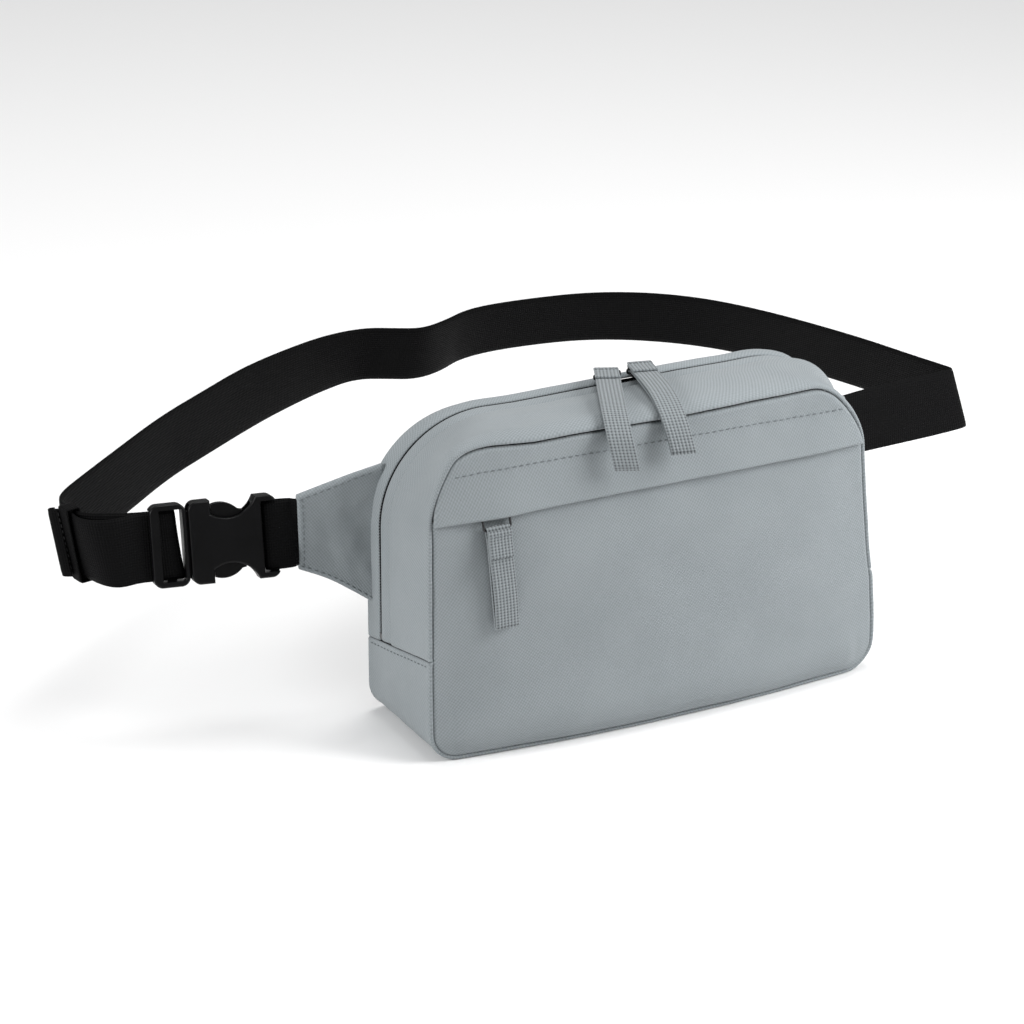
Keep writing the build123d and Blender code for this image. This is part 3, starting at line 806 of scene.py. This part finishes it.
def gusset_piece(name, nodes, rows, upper=True, material=GREY_CLOTH, puff=(-32.0, WELT_FOLD_Y),
                 most=2.6, slot="grey_cloth", wall=0.9):
    """A strip of the gusset. rows gives (depth, offset) from one long edge to the other."""
    shares = rim_shares(2.4, upper)
    near = np.array([0.0, 0.005, 0.012, 0.022, 0.035, 0.05])
    shares[0] = np.unique(np.concatenate([shares[0], near]))
    shares[-1] = np.unique(np.concatenate([shares[-1], 1 - near]))
    length = along_rim(shares, upper)
    points, ways, maps = [], [], []
    for y, offset in rows:
        flat, normal = rim(y, shares, upper)
        x, z = flat.T
        places = as3(flat, y)
        share = np.clip((y - puff[0]) / (puff[1] - puff[0]), 0, 1)
        swollen = np.sin(math.pi * share) ** 0.6 * most if 0 < share < 1 else 0.0
        key = np.column_stack([length + (0 if upper else LOWER_MAP), np.full(len(length), y)])
        edge = min(1.0, abs(y - puff[0]) / 5, abs(y - puff[1]) / 5)
        lift = swell("gusset", key, 6.0, most * 1.25, swollen) * edge * np.ones(len(x))
        if not upper:
            lift *= np.clip((z + UNDERSIDE) / 14, 0, 1)
        from_end = np.minimum(length - length[0], length[-1] - length)
        lift *= np.clip(from_end / 14, 0.15, 1) ** 0.5
        lift += 0.25 * soft_noise(places * [1, 1.6, 1], 15, 4) * edge
        lift += offset - rolled(from_end, 1.5, 1.3 if upper else 0.9)
        seam = math.exp(-abs(y - FRONT_Y) / 5)
        lift += wander(x, z, FRONT_Y) * seam
        depth = y - opening(x, z) * math.exp(-((y - WELT_LIP_Y) / 4.5) ** 2) * (y < ZIP_Y)
        depth = depth + opening(x, z) * math.exp(-((y - BACK_LIP_Y) / 3.5) ** 2) * (y > ZIP_Y)
        flat = flat + normal * lift[:, None]
        flat[:, 1] = np.maximum(flat[:, 1], -UNDERSIDE)
        points.append(settle(as3(flat, depth)))
        ways.append(as3(normal, 0.0))
        maps.append(np.column_stack([length, np.full(len(length), y)]))
    made = piece(name, np.vstack(points), grid_faces(len(rows), len(length)), material, np.vstack(maps))
    facing(made, np.vstack(ways))
    return on(thicken(made, wall), "bag", slot, *nodes)


def opening(x, z):
    """How far each lip of the main zip stands back from the slit, mm."""
    between_sliders = 1.9 * np.exp(-((x - sum(PARTED) / 2) / 8.0) ** 4) * (z > 100)
    return between_sliders + 0.2 * np.exp(-((z - 88) / 26) ** 2) * (x < -90)


FRONT_LIP = [(-30.0, -2.2), (-30.5, -1.9), (-31.0, -1.45), (-31.35, -0.9), (-31.3, -0.35), (-30.9, 0.05),
             (-30.2, 0.25), (-29.2, 0.3)]
BACK_LIP = [(29.6, 0.15), (30.4, 0.1), (31.0, -0.15), (31.4, -0.6), (31.3, -1.2), (30.9, -1.8)]


def even_rows(start, end, step=2.0, offset=0.0):
    count = max(2, round((end - start) / step))
    return [(start + (end - start) * k / count, offset) for k in range(count + 1)]


def back_panel():
    """The padded back: spacer mesh over foam, sewn all round and down two channels."""
    grid = panel_grid(BACK_Y, 1.4, fine=0.7, coarse=2.4)
    flat = grid.reshape(-1, 2)
    x, z = flat.T
    depth = inside_outline(x, z, BACK_Y) - 1.4
    puff = swell("back", flat, 8.0, 3.4, 3.4 * np.clip(depth / 35, 0, 1) ** 0.6)
    soft = 1 - np.exp(-np.clip(depth, 0, None) / 9)
    y = BACK_Y - rolled(depth, 2.2, 2.0) + puff * soft
    for channel in CHANNELS:
        y -= 2.4 * np.exp(-np.abs((x - channel) / 2.6) ** 1.6) * np.clip((depth - 1) / 10, 0, 1)
    y += 0.25 * soft_noise(as3(flat, BACK_Y), 18, 9) * soft
    made = panel("back_panel_padding", grid, flat, y, 1.0, SPACER, 2.0)
    return on(made, "bag", "back_mesh", "back_panel")


def zip_rows():
    """Coil teeth: two rows under each slit, from the zip's foot to the slider that closed them."""
    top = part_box("main_zip_teeth_left")[1].z / MM - UNDERSIDE
    inset = station(ZIP_Y)[0] - top + 0.65
    shares = rim_shares(1.2)
    for name, side, slider_x in (("left", -1, SLIDER_X[0]), ("right", 1, SLIDER_X[1])):
        paths = []
        for y in (ZIP_Y - 1.2, ZIP_Y + 1.2):
            flat, normal = rim(y, shares)
            flat = flat - normal * inset
            here = (side * (flat[:, 0] - slider_x) > 2) & (flat[:, 1] > 40)
            paths.append(settle(as3(flat[here], y)))
        made = row_of("main_zip_coil_" + name, paths, 1.3, 0.95, 1.35, COIL, 0.03)
        on(made, "bag", "zip_teeth", "main_zip_teeth_" + name)
    low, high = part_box("pocket_zip_teeth")
    y = (low.y + high.y) / 2 / MM
    paths = [straight((low.x / MM, y, z - UNDERSIDE), (high.x / MM, y, z - UNDERSIDE))
             for z in (low.z / MM + 0.55, high.z / MM - 0.55)]
    made = row_of("pocket_zip_coil", paths, 1.3, 0.95, 1.2, COIL, 0.03)
    on(made, "bag", "zip_teeth", "pocket_zip_teeth")


def bag_shell():
    """Every cloth panel, the zip's tapes and teeth; gives back the pieces that get rows of stitches."""
    front_panel("front_panel_lower_cloth", None, 108.5, 0.0, "front_panel_lower")
    flap = front_panel("front_panel_upper_cloth", FLAP_FOLD_Z, None, 2.3, "front_panel_upper")
    fold = [(7.6, -0.05), (8.3, -0.25), (8.9, -0.6), (9.2, -1.0)]
    gusset_piece("front_gusset_cloth", ["front_gusset"], FRONT_LIP + even_rows(-28.0, 6.8) + fold)
    welt = [(8.9, -1.5), (9.3, -1.15), (9.9, -0.9), (10.8, -0.75), (12.2, -0.62), (13.8, -0.55),
            (15.3, -0.5), (16.6, -0.45), (17.5, -0.5), (18.05, -0.65), (18.3, -0.95), (WELT_LIP_Y, -1.3)]
    gusset_piece("zip_welt_cloth", ["zip_welt"], welt, puff=(8.9, 18.4), most=0.4)
    back = [(BACK_LIP_Y, -1.1), (19.75, -0.75), (20.0, -0.45), (20.5, -0.25), (21.4, -0.1)]
    gusset_piece("back_gusset_cloth", ["back_gusset"], back + even_rows(22.6, 28.8, 1.6) + BACK_LIP,
                 puff=(19.6, 31.5), most=1.0)
    bottom = FRONT_LIP + even_rows(-27.8, 28.6, 2.4) + BACK_LIP
    foot = gusset_piece("bottom_gusset_cloth", ["bottom_gusset"], bottom, upper=False, puff=(-31.5, 31.0),
                        most=2.4)
    for name, start, end in (("front", 11.0, ZIP_Y - 0.7), ("back", ZIP_Y + 0.7, 27.0)):
        gusset_piece("main_zip_tape_%s_cloth" % name, ["main_zip_tape_" + name],
                     even_rows(start, end, 1.2, -2.5), material=ZIP_TAPE, puff=(start, end), most=0.0,
                     slot="zip_tape", wall=0.5)
    for name, start, end in (("front", -29.8, -26.2), ("back", 26.3, 29.3)):
        for upper in (True, False):
            label = "seam_binding_%s_%s" % (name, "top" if upper else "foot")
            nodes = ["seam_binding_" + name] if upper else []
            gusset_piece(label, nodes, even_rows(start, end, 0.9, -2.4), upper=upper, material=BINDING,
                         puff=(start, end), most=0.0, slot="binding_tape", wall=0.7)
    lining = panel_grid(LINING_Y, 4.0, fine=3.0, coarse=5.0)
    sheet = panel("pocket_lining_sheet", lining, lining.reshape(-1, 2), LINING_Y, -1.0, LINING, 0.4)
    on(sheet, "bag", "lining_cloth", "pocket_lining")
    back_panel()
    zip_rows()
    return flap, foot


def bag_stitches(flap, foot):
    """Rows of grey stitches: along the flap, and just under the cross seam at both sides."""
    x = np.linspace(-97, 97, 100)
    row = settle(np.column_stack([x, np.full(100, -31.0), flap_row(x)]))
    paths = [laid_on(flap, row - [0, 20, 0], (0, 1, 0))]
    for side in (-1, 1):
        y = np.linspace(-27.5, 27, 40)
        row = np.column_stack([np.full(40, side * 125.0), y, cross_seam_height(y) - 2.3])
        paths.append(laid_on(foot, row, (-side, 0, 0)))
    made = row_of("bag_stitches", paths, 3.3, 2.3, 0.55, GREY_THREAD)
    return on(made, "bag", "grey_cloth")


bag_stitches(*bag_shell())


# --- camera, light and floor -------------------------------------------------------------------------
CAMERA_PLACE = (-0.866, -1.592, 0.854)
LENS = 157.5
CAMERA_TURN = (-27.0, 23.0)     # azimuth and elevation, degrees


def camera():
    azimuth, elevation = (math.radians(turn) for turn in CAMERA_TURN)
    back = Vector((math.sin(azimuth) * math.cos(elevation), -math.cos(azimuth) * math.cos(elevation),
                   math.sin(elevation)))
    data = bpy.data.cameras.new("camera")
    data.lens = LENS
    data.clip_start = 0.05
    data.clip_end = 30
    made = linked("camera", data)
    made.location = CAMERA_PLACE
    made.rotation_euler = back.to_track_quat("Z", "Y").to_euler()
    bpy.context.scene.camera = made


def lamp(name, place, aim, size, power):
    data = bpy.data.lights.new(name, "AREA")
    data.shape = "DISK"
    data.size = size
    data.energy = power
    made = linked(name, data)
    made.location = place
    made.rotation_euler = (Vector(place) - Vector(aim)).to_track_quat("Z", "Y").to_euler()


def studio():
    corners = ((-6000, -6000), (6000, -6000), (6000, 6000), (-6000, 6000))
    pale, _, shader = surface("pale_floor", 0.9)
    shader.inputs["Base Color"].default_value = linear("F4F4F4")
    piece("floor", [(x, y, -UNDERSIDE - 0.3) for x, y in corners], [(0, 1, 2, 3)], pale)
    world = bpy.data.worlds.new("studio")
    bpy.context.scene.world = world
    world.use_nodes = True
    sky = world.node_tree.nodes["Background"].inputs
    sky["Color"].default_value = (1, 1, 1, 1)
    sky["Strength"].default_value = 0.37
    lamp("right_softbox", (0.50, -0.42, 0.50), (0.1, 0, 0.07), 0.5, 6.2)
    lamp("left_softbox", (-1.9, 0.05, 0.9), (0, 0, 0.07), 0.9, 26.5)
    lamp("top_softbox", (0.15, 0.25, 1.8), (0, 0, 0.08), 1.0, 15.5)
    bpy.context.scene.view_settings.view_transform = "Standard"


camera()
studio()


# --- webbing ------------------------------------------------------------------------------------------
def between(a, b, step):
    """Points about step apart between a and b, without them."""
    count = max(1, int(np.linalg.norm(b - a) / step))
    return a + (b - a) * (np.arange(1, count) / count)[:, None]


def smooth_route(rows, step):
    """Smooth curve guided by rows of numbers: it starts and ends on the first and last row."""
    rows = np.asarray(rows, float)
    middles = (rows[1:] + rows[:-1]) / 2
    found = [rows[:1]]
    for start, guide, end in zip(middles, rows[1:-1], middles[1:]):
        count = max(4, int((np.linalg.norm((guide - start)[:3]) + np.linalg.norm((end - guide)[:3])) / step))
        t = (np.arange(count) / count)[:, None]
        found.append((1 - t) ** 2 * start + 2 * t * (1 - t) * guide + t ** 2 * end)
    found += [middles[-1:], rows[-1:]]
    line = np.vstack(found)
    line = np.vstack([line[:1], between(line[0], line[1], step), line[1:]])
    return np.vstack([line[:-1], between(line[-2], line[-1], step), line[-1:]])


def ribbon(name, low, high, thick, material, across=12, bulge=None, crown=0.0, start=0.0):
    """A closed strip between two edge lines, with rounded selvedges. thick is in mm; bulge(along, share)
    pushes it along its normal; crown makes its middle thicker than its edges."""
    low, high = np.asarray(low, float), np.asarray(high, float)
    middle = (low + high) / 2
    way = unit(np.gradient(middle, axis=0))
    side = unit(high - low)
    width = np.linalg.norm(high - low, axis=1)
    normal = unit(np.cross(way, side))
    along = travelled(middle) + start
    half = thick / 2
    spread = np.linspace(-1, 1, across + 1)[1:-1]
    section = [(-1.0, 0.0), (-0.985, 0.7)] + [(u, 1.0) for u in spread] + [(0.985, 0.7), (1.0, 0.0)]
    section += [(0.985, -0.7)] + [(u, -1.0) for u in spread[::-1]] + [(-0.985, -0.7)]
    points, maps = [], []
    for k in range(len(low)):
        for u, v in section:
            lift = v * half * (1 + crown * (1 - u * u))
            if bulge is not None:
                lift += bulge(along[k], u)
            points.append(middle[k] + side[k] * (u * width[k] / 2) + normal[k] * lift)
            maps.append((along[k], u * width[k] / 2))
    count = len(section)
    faces = grid_faces(len(low), count, close_columns=True) + caps(len(low), count)
    return outward(piece(name, points, faces, material, maps))


# The buckle's own frame: along the belt away from the bag, to the front, and up, tipped back 15 degrees.
BUCKLE_START = Vector((-141.0, 34.2, BELT_Z))
SWEEP = math.radians(12.2)
TIP = math.radians(15.0)


def in_buckle(along, front, up):
    """World place of a point given in the buckle's frame."""
    out = front * math.cos(TIP) - up * math.sin(TIP)
    rise = front * math.sin(TIP) + up * math.cos(TIP)
    return np.array([BUCKLE_START.x - along * math.cos(SWEEP) - out * math.sin(SWEEP),
                     BUCKLE_START.y + along * math.sin(SWEEP) - out * math.cos(SWEEP),
                     BUCKLE_START.z + rise])


def buckle_row(along, front, skew=0.0, half=WEB_WIDTH / 2):
    """One row of edge points, low then high, inside the buckle; skew pulls its low edge to the bag."""
    return np.concatenate([in_buckle(along - 0.75 * skew, front, -half),
                           in_buckle(along + 0.25 * skew, front, half)])


def route_row(x, y, lean_x, lean_y, height=WEB_WIDTH):
    tall = math.sqrt(height ** 2 - lean_x ** 2 - lean_y ** 2)
    return np.array([x - lean_x / 2, y - lean_y / 2, BELT_Z - tall / 2,
                     x + lean_x / 2, y + lean_y / 2, BELT_Z + tall / 2])


def ribbon_from(name, rows, thick, material, step=2.5, **more):
    line = smooth_route(rows, step)
    return ribbon(name, line[:, :3], line[:, 3:], thick, material, **more)


def belt():
    """The belt from the right wing, round behind, to the buckle; then the end that comes back round the
    adjuster's bar and lies over it to the folded hem."""
    rows = [route_row(*r) for r in (
        (127, 31.6, 0.6, 1.0), (139, 33.8, 0.6, 2.0), (152, 35.0, 0.4, 3.0), (178, 36.6, -1.5, 4.0),
        (193, 37.6, -5.0, 3.6),
        (198.6, 38.6, -7.4, 3.6), (197.2, 45, -7.6, 0.8), (191, 64, -7.4, -2.0), (180, 100, -7.0, -4.0),
        (158, 154, -7.0, -6.4), (134, 188.5, -6.6, -6.6), (99, 212.5, -3.4, -9.8), (58, 219.5, -2.2, -10.4),
        (31, 218.5, 0.0, -9.4), (14, 208, 0.6, -7.6), (-1, 203.5, 0.7, -8.6), (-12, 209.5, 0.9, -9.0),
        (-26, 217, 1.8, -8.6), (-48, 212.5, 1.0, -3.8), (-76, 200, 0.2, -0.2), (-99, 187.5, -1.5, 2.4),
        (-127, 168.5, -1.5, 2.4), (-155, 149.5, -1.8, 2.4), (-188, 121, -2.4, 3.6), (-213, 99.5, -2.8, 3.8),
        (-226.4, 87.8, -3.0, 3.0), (-231.6, 79.0, -3.4, 1.4), (-230.0, 67, -3.4, -1.0))]
    rows += [route_row(-224.8, 58.4, -1.0, 5.0), route_row(-218.0, 54.2, 1.0, 7.0), buckle_row(70.5, -3.0),
             buckle_row(57.5, -3.0)]
    main = ribbon_from("belt_strap", rows, WEB, BELT_WEBBING)
    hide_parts("belt_back", "belt_buckle_end")
    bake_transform(main)
    turn = [buckle_row(*r) for r in ((66.0, -1.6), (58.8, -1.5, 1.0), (56.0, -2.1, 2.2), (53.6, -2.6, 2.8),
                                     (52.8, -0.9, 2.8), (53.8, 1.0, 2.8), (57.5, 1.2, 1.6), (66.0, 1.1),
                                     (71.5, 1.6))]
    turn += [route_row(*r) for r in ((-219.5, 47.4, 0.0, 7.0), (-226.0, 50.4, -3.4, 7.6),
                                     (-229.8, 56.6, -5.2, 7.4), (-230.6, 63.0, -4.2, 5.6),
                                     (-231.8, 68.0, -3.2, 4.2), (-234.6, 69.6, -2.8, 6.4),
                                     (-237.0, 70.2, -2.7, 7.4))]
    tail = ribbon_from("belt_end_strap", turn, WEB, BELT_WEBBING, step=1.5,
                       bulge=lambda along, u: 0.5 * math.sin(along / 13.0) * (1 - u * u))
    on(tail, "male_half", "belt_webbing", "adjuster_turn", "belt_tail")
    hem = [route_row(*r) for r in ((-235.4, 68.0, -2.8, 7.0), (-236.6, 68.6, -2.7, 7.3),
                                   (-238.7, 69.8, -2.7, 7.4), (-238.4, 71.4, -2.7, 7.4),
                                   (-237.4, 71.9, -2.7, 7.4), (-235.6, 71.5, -2.7, 7.2))]
    line = smooth_route(hem, 0.8)
    folded = ribbon("belt_hem_fold", line[:, :3], line[:, 3:], WEB, BELT_WEBBING)
    on(folded, "male_half", "belt_webbing")
    ends = route_row(-235.6, 67.4, -2.8, 7.0, 27.0)
    sewn = laid_on(folded, straight(ends[:3], ends[3:]) - [0, 8, 0], (0, 1, 0))
    on(row_of("belt_hem_stitches", [sewn], 2.6, 1.9, 0.5, DARK_THREAD), "male_half", "belt_webbing")


def keeper():
    """Elastic loop that holds the belt's end flat: a woven band closed round both layers."""
    low_corner, high_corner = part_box("keeper")
    centre = np.array([-231.0, 66.4, (low_corner.z + high_corner.z) / 2 / MM - UNDERSIDE])
    way = np.array([-0.1736, 0.9848, 0.0])
    out = np.array([-0.9848, -0.1736, 0.0])
    half_depth, half_height, round_by = 3.1, 16.2, 1.6
    corners = [(-half_depth, -half_height), (half_depth, -half_height), (half_depth, half_height),
               (-half_depth, half_height)]
    path = []
    for k, (o, h) in enumerate(corners):
        before, after = corners[k - 1], corners[(k + 1) % 4]
        here = np.array((o, h))
        path += [here + unit(before - here) * round_by, here, here + unit(after - here) * round_by]
    path = np.array(path + path[:1])
    line = smooth_route(np.column_stack([path, np.zeros(len(path))]), 1.0)[:, :2]
    lean = np.array([-3.4, 4.4, 0.0]) / 30
    middle = centre + line[:, :1] * out + line[:, 1:2] * (np.array([0, 0, 1.0]) + lean)
    low, high = middle - way * 3.4, middle + way * 3.4
    made = ribbon("belt_keeper_band", low, high, 1.0, BELT_WEBBING, across=6)
    return on(made, "keeper_loop", "belt_webbing", "keeper")


def short_loop():
    """Webbing that leaves the left wing, turns round the buckle's end bar and goes back in."""
    rows = [buckle_row(*r) for r in ((2.6, 1.3), (8.0, 2.4), (12.4, 2.5), (14.9, 2.0), (15.3, 0.0),
                                     (14.9, -2.0), (12.4, -2.5), (8.0, -2.4), (2.6, -1.3))]
    tuck = [route_row(-139.8, y, 0.0, 1.0) for y in (33.8, 34.8)]
    middle = [route_row(-142.2, y, 0.1, 1.8) for y in (33.8, 35.3)]
    rows = [tuck[0], middle[0]] + rows + [middle[1], tuck[1]]
    made = ribbon_from("buckle_end_webbing", rows, 1.3, BELT_WEBBING, step=1.0)
    return on(made, "bag", "belt_webbing", "webbing_loop")


LENGTH_OF_WING = {-1: 36.0, 1: 30.0}


def wing(side):
    """A tapered ear of padded cloth, sewn into the back seam, that narrows to the webbing."""
    name = "left" if side < 0 else "right"
    rows = ((104.0, 26.8, 79.6, 69.0, 0.0), (111.0, 27.8, 81.4, 62.0, 0.4), (119.0, 29.6, 83.2, 54.0, 0.6),
            (129.0, 31.8, 85.0, 44.0, 0.8), (141.4, 34.0, 86.0, 34.5, 1.0))
    if side > 0:
        rows = ((100.0, 26.8, 73.0, 44.0, 0.0), (107.0, 27.5, 76.0, 40.0, 0.4),
                (115.0, 28.8, 80.0, 36.0, 0.6), (123.0, 30.5, 83.6, 33.0, 0.8),
                (131.0, 32.2, 85.4, 31.6, 1.0))
    ends = []
    for x, y, z, tall, lean in rows:
        ends.append(np.array([side * x, y - lean / 2, z - tall / 2, side * x, y + lean / 2, z + tall / 2]))
    line = smooth_route(ends, 1.6)

    def dented(along, u):
        soft = min(1.0, max(0.0, (LENGTH_OF_WING[side] - along) / 14)) * (1 - u ** 4)
        return soft * (1.7 * noise.noise(Vector((along / 15, u * 1.7, side * 3.0)))
                       + 0.5 * noise.noise(Vector((along / 6, u * 5, side * 7.0))))

    made = ribbon("wing_%s_cloth" % name, line[:, :3], line[:, 3:], 3.2, GREY_CLOTH, across=26,
                  bulge=dented, crown=0.25)
    on(made, "bag", "grey_cloth", "wing_" + name)
    low, high = line[:, :3], line[:, 3:]
    inward = (high - low) / np.linalg.norm(high - low, axis=1)[:, None] * 2.2
    paths = []
    for face in (-6.0, 6.0):
        for edge in (low + inward, high - inward):
            paths.append(laid_on(made, edge[5:-1] + [0, face, 0], (0, -face / 6, 0)))
        off = [-side * 1.8, face, 0]
        end = straight(low[-1] + inward[-1] + off, high[-1] - inward[-1] + off)
        paths.append(laid_on(made, end, (0, -face / 6, 0)))
    rows = row_of("wing_%s_stitches" % name, paths, 3.0, 2.1, 0.55, GREY_THREAD)
    return on(rows, "bag", "grey_cloth")


belt()
keeper()
short_loop()
wing(-1)
wing(1)


# --- sliders and pullers ------------------------------------------------------------------------------
def rounded_plate(length, wide_end, narrow_end, low, high, corner=1.2):
    """Outline of a slider plate as a bevelled block: points and faces in the slider's own frame."""
    plan = []
    tip = length / 2
    for x, y, a in ((-tip, -wide_end, 180), (tip, -narrow_end, 270), (tip, narrow_end, 0),
                    (-tip, wide_end, 90)):
        cx, cy = x - math.copysign(corner, x), y - math.copysign(corner, y)
        for k in range(5):
            angle = math.radians(a + 22.5 * k)
            plan.append((cx + corner * math.cos(angle), cy + corner * math.sin(angle)))
    middle = np.mean(plan, 0)
    levels = ((low, 0.88), (low + 0.2, 0.98), ((low + high) / 2, 1.0), (high - 0.25, 0.97),
              (high - 0.06, 0.9), (high, 0.8))
    points = [(*(middle + (p - middle) * scale), z) for z, scale in levels for p in plan]
    rows, count = len(levels), len(plan)
    return points, grid_faces(rows, count, close_columns=True) + [cap[::-1] for cap in caps(rows, count)]


def tube(path, radius, closed=False, sides=8):
    """Round bar along a path: points and faces."""
    path = np.asarray(path, float)
    way = np.gradient(path, axis=0)
    if closed:
        way = np.roll(path, -1, 0) - np.roll(path, 1, 0)
    points = []
    for p, t in zip(path, unit(way)):
        u = unit(np.cross(t, (0.0, 1.0, 0.0) if abs(t[1]) < 0.8 else (1.0, 0.0, 0.0)))
        v = np.cross(t, u)
        for k in range(sides):
            angle = math.tau * k / sides
            points.append(p + u * radius * math.cos(angle) + v * radius * math.sin(angle))
    faces = grid_faces(len(path), sides, close_rows=closed, close_columns=True)
    return points, faces if closed else faces + caps(len(path), sides)


def merged(parts):
    points, faces = [], []
    for some, quads in parts:
        start = len(points)
        points += [tuple(p) for p in some]
        faces += [tuple(i + start for i in f) for f in quads]
    return np.array(points), faces


def round_loop(corners, radius, count=6):
    """Closed path with rounded corners through points in one plane."""
    corners = [np.array(c, float) for c in corners]
    path = []
    for k, corner in enumerate(corners):
        a = corner + unit(corners[k - 1] - corner) * radius
        b = corner + unit(corners[(k + 1) % len(corners)] - corner) * radius
        for t in np.linspace(0, 1, count):
            path.append((1 - t) ** 2 * a + 2 * t * (1 - t) * corner + t ** 2 * b)
    return path


def slider(name, body, node, place, ways, bar):
    """Die-cast slider: plates above and below the tape, a neck through the slit, a crown, a wire loop.
    ways holds its own three axes, and bar is where its loop's far end lies along the last two."""
    half, thick = 6.35, 0.55
    parts = [rounded_plate(10.0, 3.4, 2.7, 1.75, 2.75), rounded_plate(10.0, 3.4, 2.7, -2.1, -1.1),
             rounded_plate(2.4, 0.34, 0.3, -1.3, 2.0, 0.1)]
    crown = [(-0.4, -1.9, 2.5), (-0.4, -1.9, 3.6), (-0.4, -1.2, 4.25), (-0.4, 0.0, 4.4), (-0.4, 1.2, 4.25),
             (-0.4, 1.9, 3.6), (-0.4, 1.9, 2.5)]
    parts.append(tube(smooth_route(crown, 0.4), thick))
    wire = round_loop([(-half, *bar), (half, *bar), (half, 0.0, 3.45), (-half, 0.0, 3.45)], 0.85)
    parts.append(tube(wire, thick, closed=True))
    points, faces = merged(parts)
    made = piece(name, np.array(place) + points @ np.array(ways, float), faces, ZINC)
    return on(outward(made), body, "slider_metal", node)


def puller(name, body, node, path, x, swing, slant):
    """One length of tape folded in two: round the wire, down to a hairpin, and back up under itself, with
    its first end sewn over the front."""
    path = np.array(path, float)
    line = smooth_route(np.column_stack([path, np.zeros(len(path))]), 1.2)[:, :2]
    way = unit(np.gradient(line, axis=0))
    out = np.column_stack([-way[:, 1], way[:, 0]])
    if out[:, 0].mean() > 0:
        out = -out
    reached = travelled(line)
    apart = 0.72 + 0.5 * np.sin(np.clip((reached - 13) / (reached[-1] - 13), 0, 1) * math.pi)
    apart[reached < 3] = 1.15
    first = (line + out * (apart + PULLER_THICK)[:, None])[reached < 13.5][::-1]
    front, back = line + out * apart[:, None], line - out * apart[:, None]
    bar = line[0]
    angle = math.atan2(out[0][1], out[0][0])
    wrap = [bar + 1.15 * np.array([math.cos(angle + a), math.sin(angle + a)])
            for a in np.linspace(0.35, math.pi - 0.35, 7) * (1 if np.cross(out[0], -way[0]) > 0 else -1)]
    end = line[-1]
    tip = [end + way[-1] * 0.75 + out[-1] * 0.45, end + way[-1] * 0.75 - out[-1] * 0.45]
    whole = np.vstack([front[::-1], np.array(wrap), back, np.array(tip)[::-1], front[-1:]])
    turn = math.radians(swing)
    across = np.array([math.cos(turn), math.sin(turn), 0.0])

    def placed(points):
        reach = points[:, 0] - bar[0]
        return np.column_stack([x - reach * math.sin(turn) + slant * (bar[1] - points[:, 1]),
                                bar[0] + reach * math.cos(turn), points[:, 1]])

    parts = []
    for label, run, start in (("loop", whole, 0.0), ("end", first, -30.0)):
        middle = placed(run)
        half = PULLER_WIDTH / 2 * across
        parts.append(ribbon(name + "_" + label, middle - half, middle + half, PULLER_THICK, PULLER_TAPE,
                            across=18, start=start))
    bpy.context.view_layer.update()
    main, extra = parts
    work = bmesh.new()
    work.from_mesh(main.data)
    work.from_mesh(extra.data)
    work.to_mesh(main.data)
    work.free()
    bpy.data.objects.remove(extra)
    main.name = name
    on(main, body, "puller_webbing", node)
    paths = []
    front_way = (0.0, 1.0) if bar[0] > 0 else (1.0, 0.0)
    for share in (0.08, 0.8):
        middle = placed(first[int(share * (len(first) - 1))][None])[0]
        outer = np.array([0.0, -front_way[0], front_way[1]]) * 4
        paths.append(laid_on(main, straight(middle - across * 4.4, middle + across * 4.4, 0.8) + outer,
                             -outer / 4, 0.1))
    rows = row_of(name + "_stitches", paths, 1.9, 1.4, 0.5, GREY_THREAD)
    return on(rows, body, "puller_webbing")


def all_sliders():
    for name, x, way, swing, slant in (("left", SLIDER_X[0], -1, -24.0, 0.24),
                                       ("right", SLIDER_X[1], 1, -14.0, 0.2)):
        slider("main_zip_slider_" + name, "zip_runner_" + name, "main_slider_" + name, (x, ZIP_Y, TAPE_Z),
               ((way, 0, 0), (0, way, 0), (0, 0, 1)), (0.0, 5.3))
        reach = 5.5 * math.sin(math.radians(abs(swing)))
        drape = [(ZIP_Y, 139.6), (9.0, 140.8), (-6.0, 142.2), (-19.0, 142.6), (-30.6, 141.2), (-37.8, 135.0),
                 (-39.8, 128.0), (-41.0, 122.0)]
        if name == "right":
            drape = [(ZIP_Y, 139.6), (8.0, 141.0), (-7.0, 142.2), (-21.0, 142.2), (-32.0, 138.8),
                     (-38.2, 131.6), (-41.4, 124.0)]
        drape = [(ZIP_Y - (ZIP_Y - y + (reach if y < 18 else 0)) / math.cos(math.radians(swing)), z)
                 for y, z in drape]
        puller("main_zip_puller_" + name, "pull_" + name, "main_puller_" + name, drape, x, swing, slant)
    slider("pocket_zip_slider", "pocket_runner", "pocket_slider", (POCKET_X, -30.0, 110.5),
           ((1, 0, 0), (0, 0, 1), (0, -1, 0)), (-8.0, 6.4))
    hang = [(-36.4, 102.5), (-37.6, 92.0), (-38.8, 80.0), (-39.6, 69.0), (-39.8, 58.6)]
    puller("pocket_zip_puller", "pocket_pull", "pocket_puller", hang, POCKET_X, 0.0, 0.06)


all_sliders()


def cad_finish():
    """Materials for the CAD nodes that stay."""
    kept = {"main_zip_stops": ZINC, "pocket_zip_stops": ZINC, "pocket_zip_tape_lower": ZIP_TAPE,
            "pocket_zip_tape_upper": ZIP_TAPE, "buckle_female": ACETAL, "buckle_male": ACETAL,
            "prong_upper": ACETAL, "prong_lower": ACETAL}
    for name, material in kept.items():
        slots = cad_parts[name].data.materials
        slots.clear()
        slots.append(material)


cad_finish()
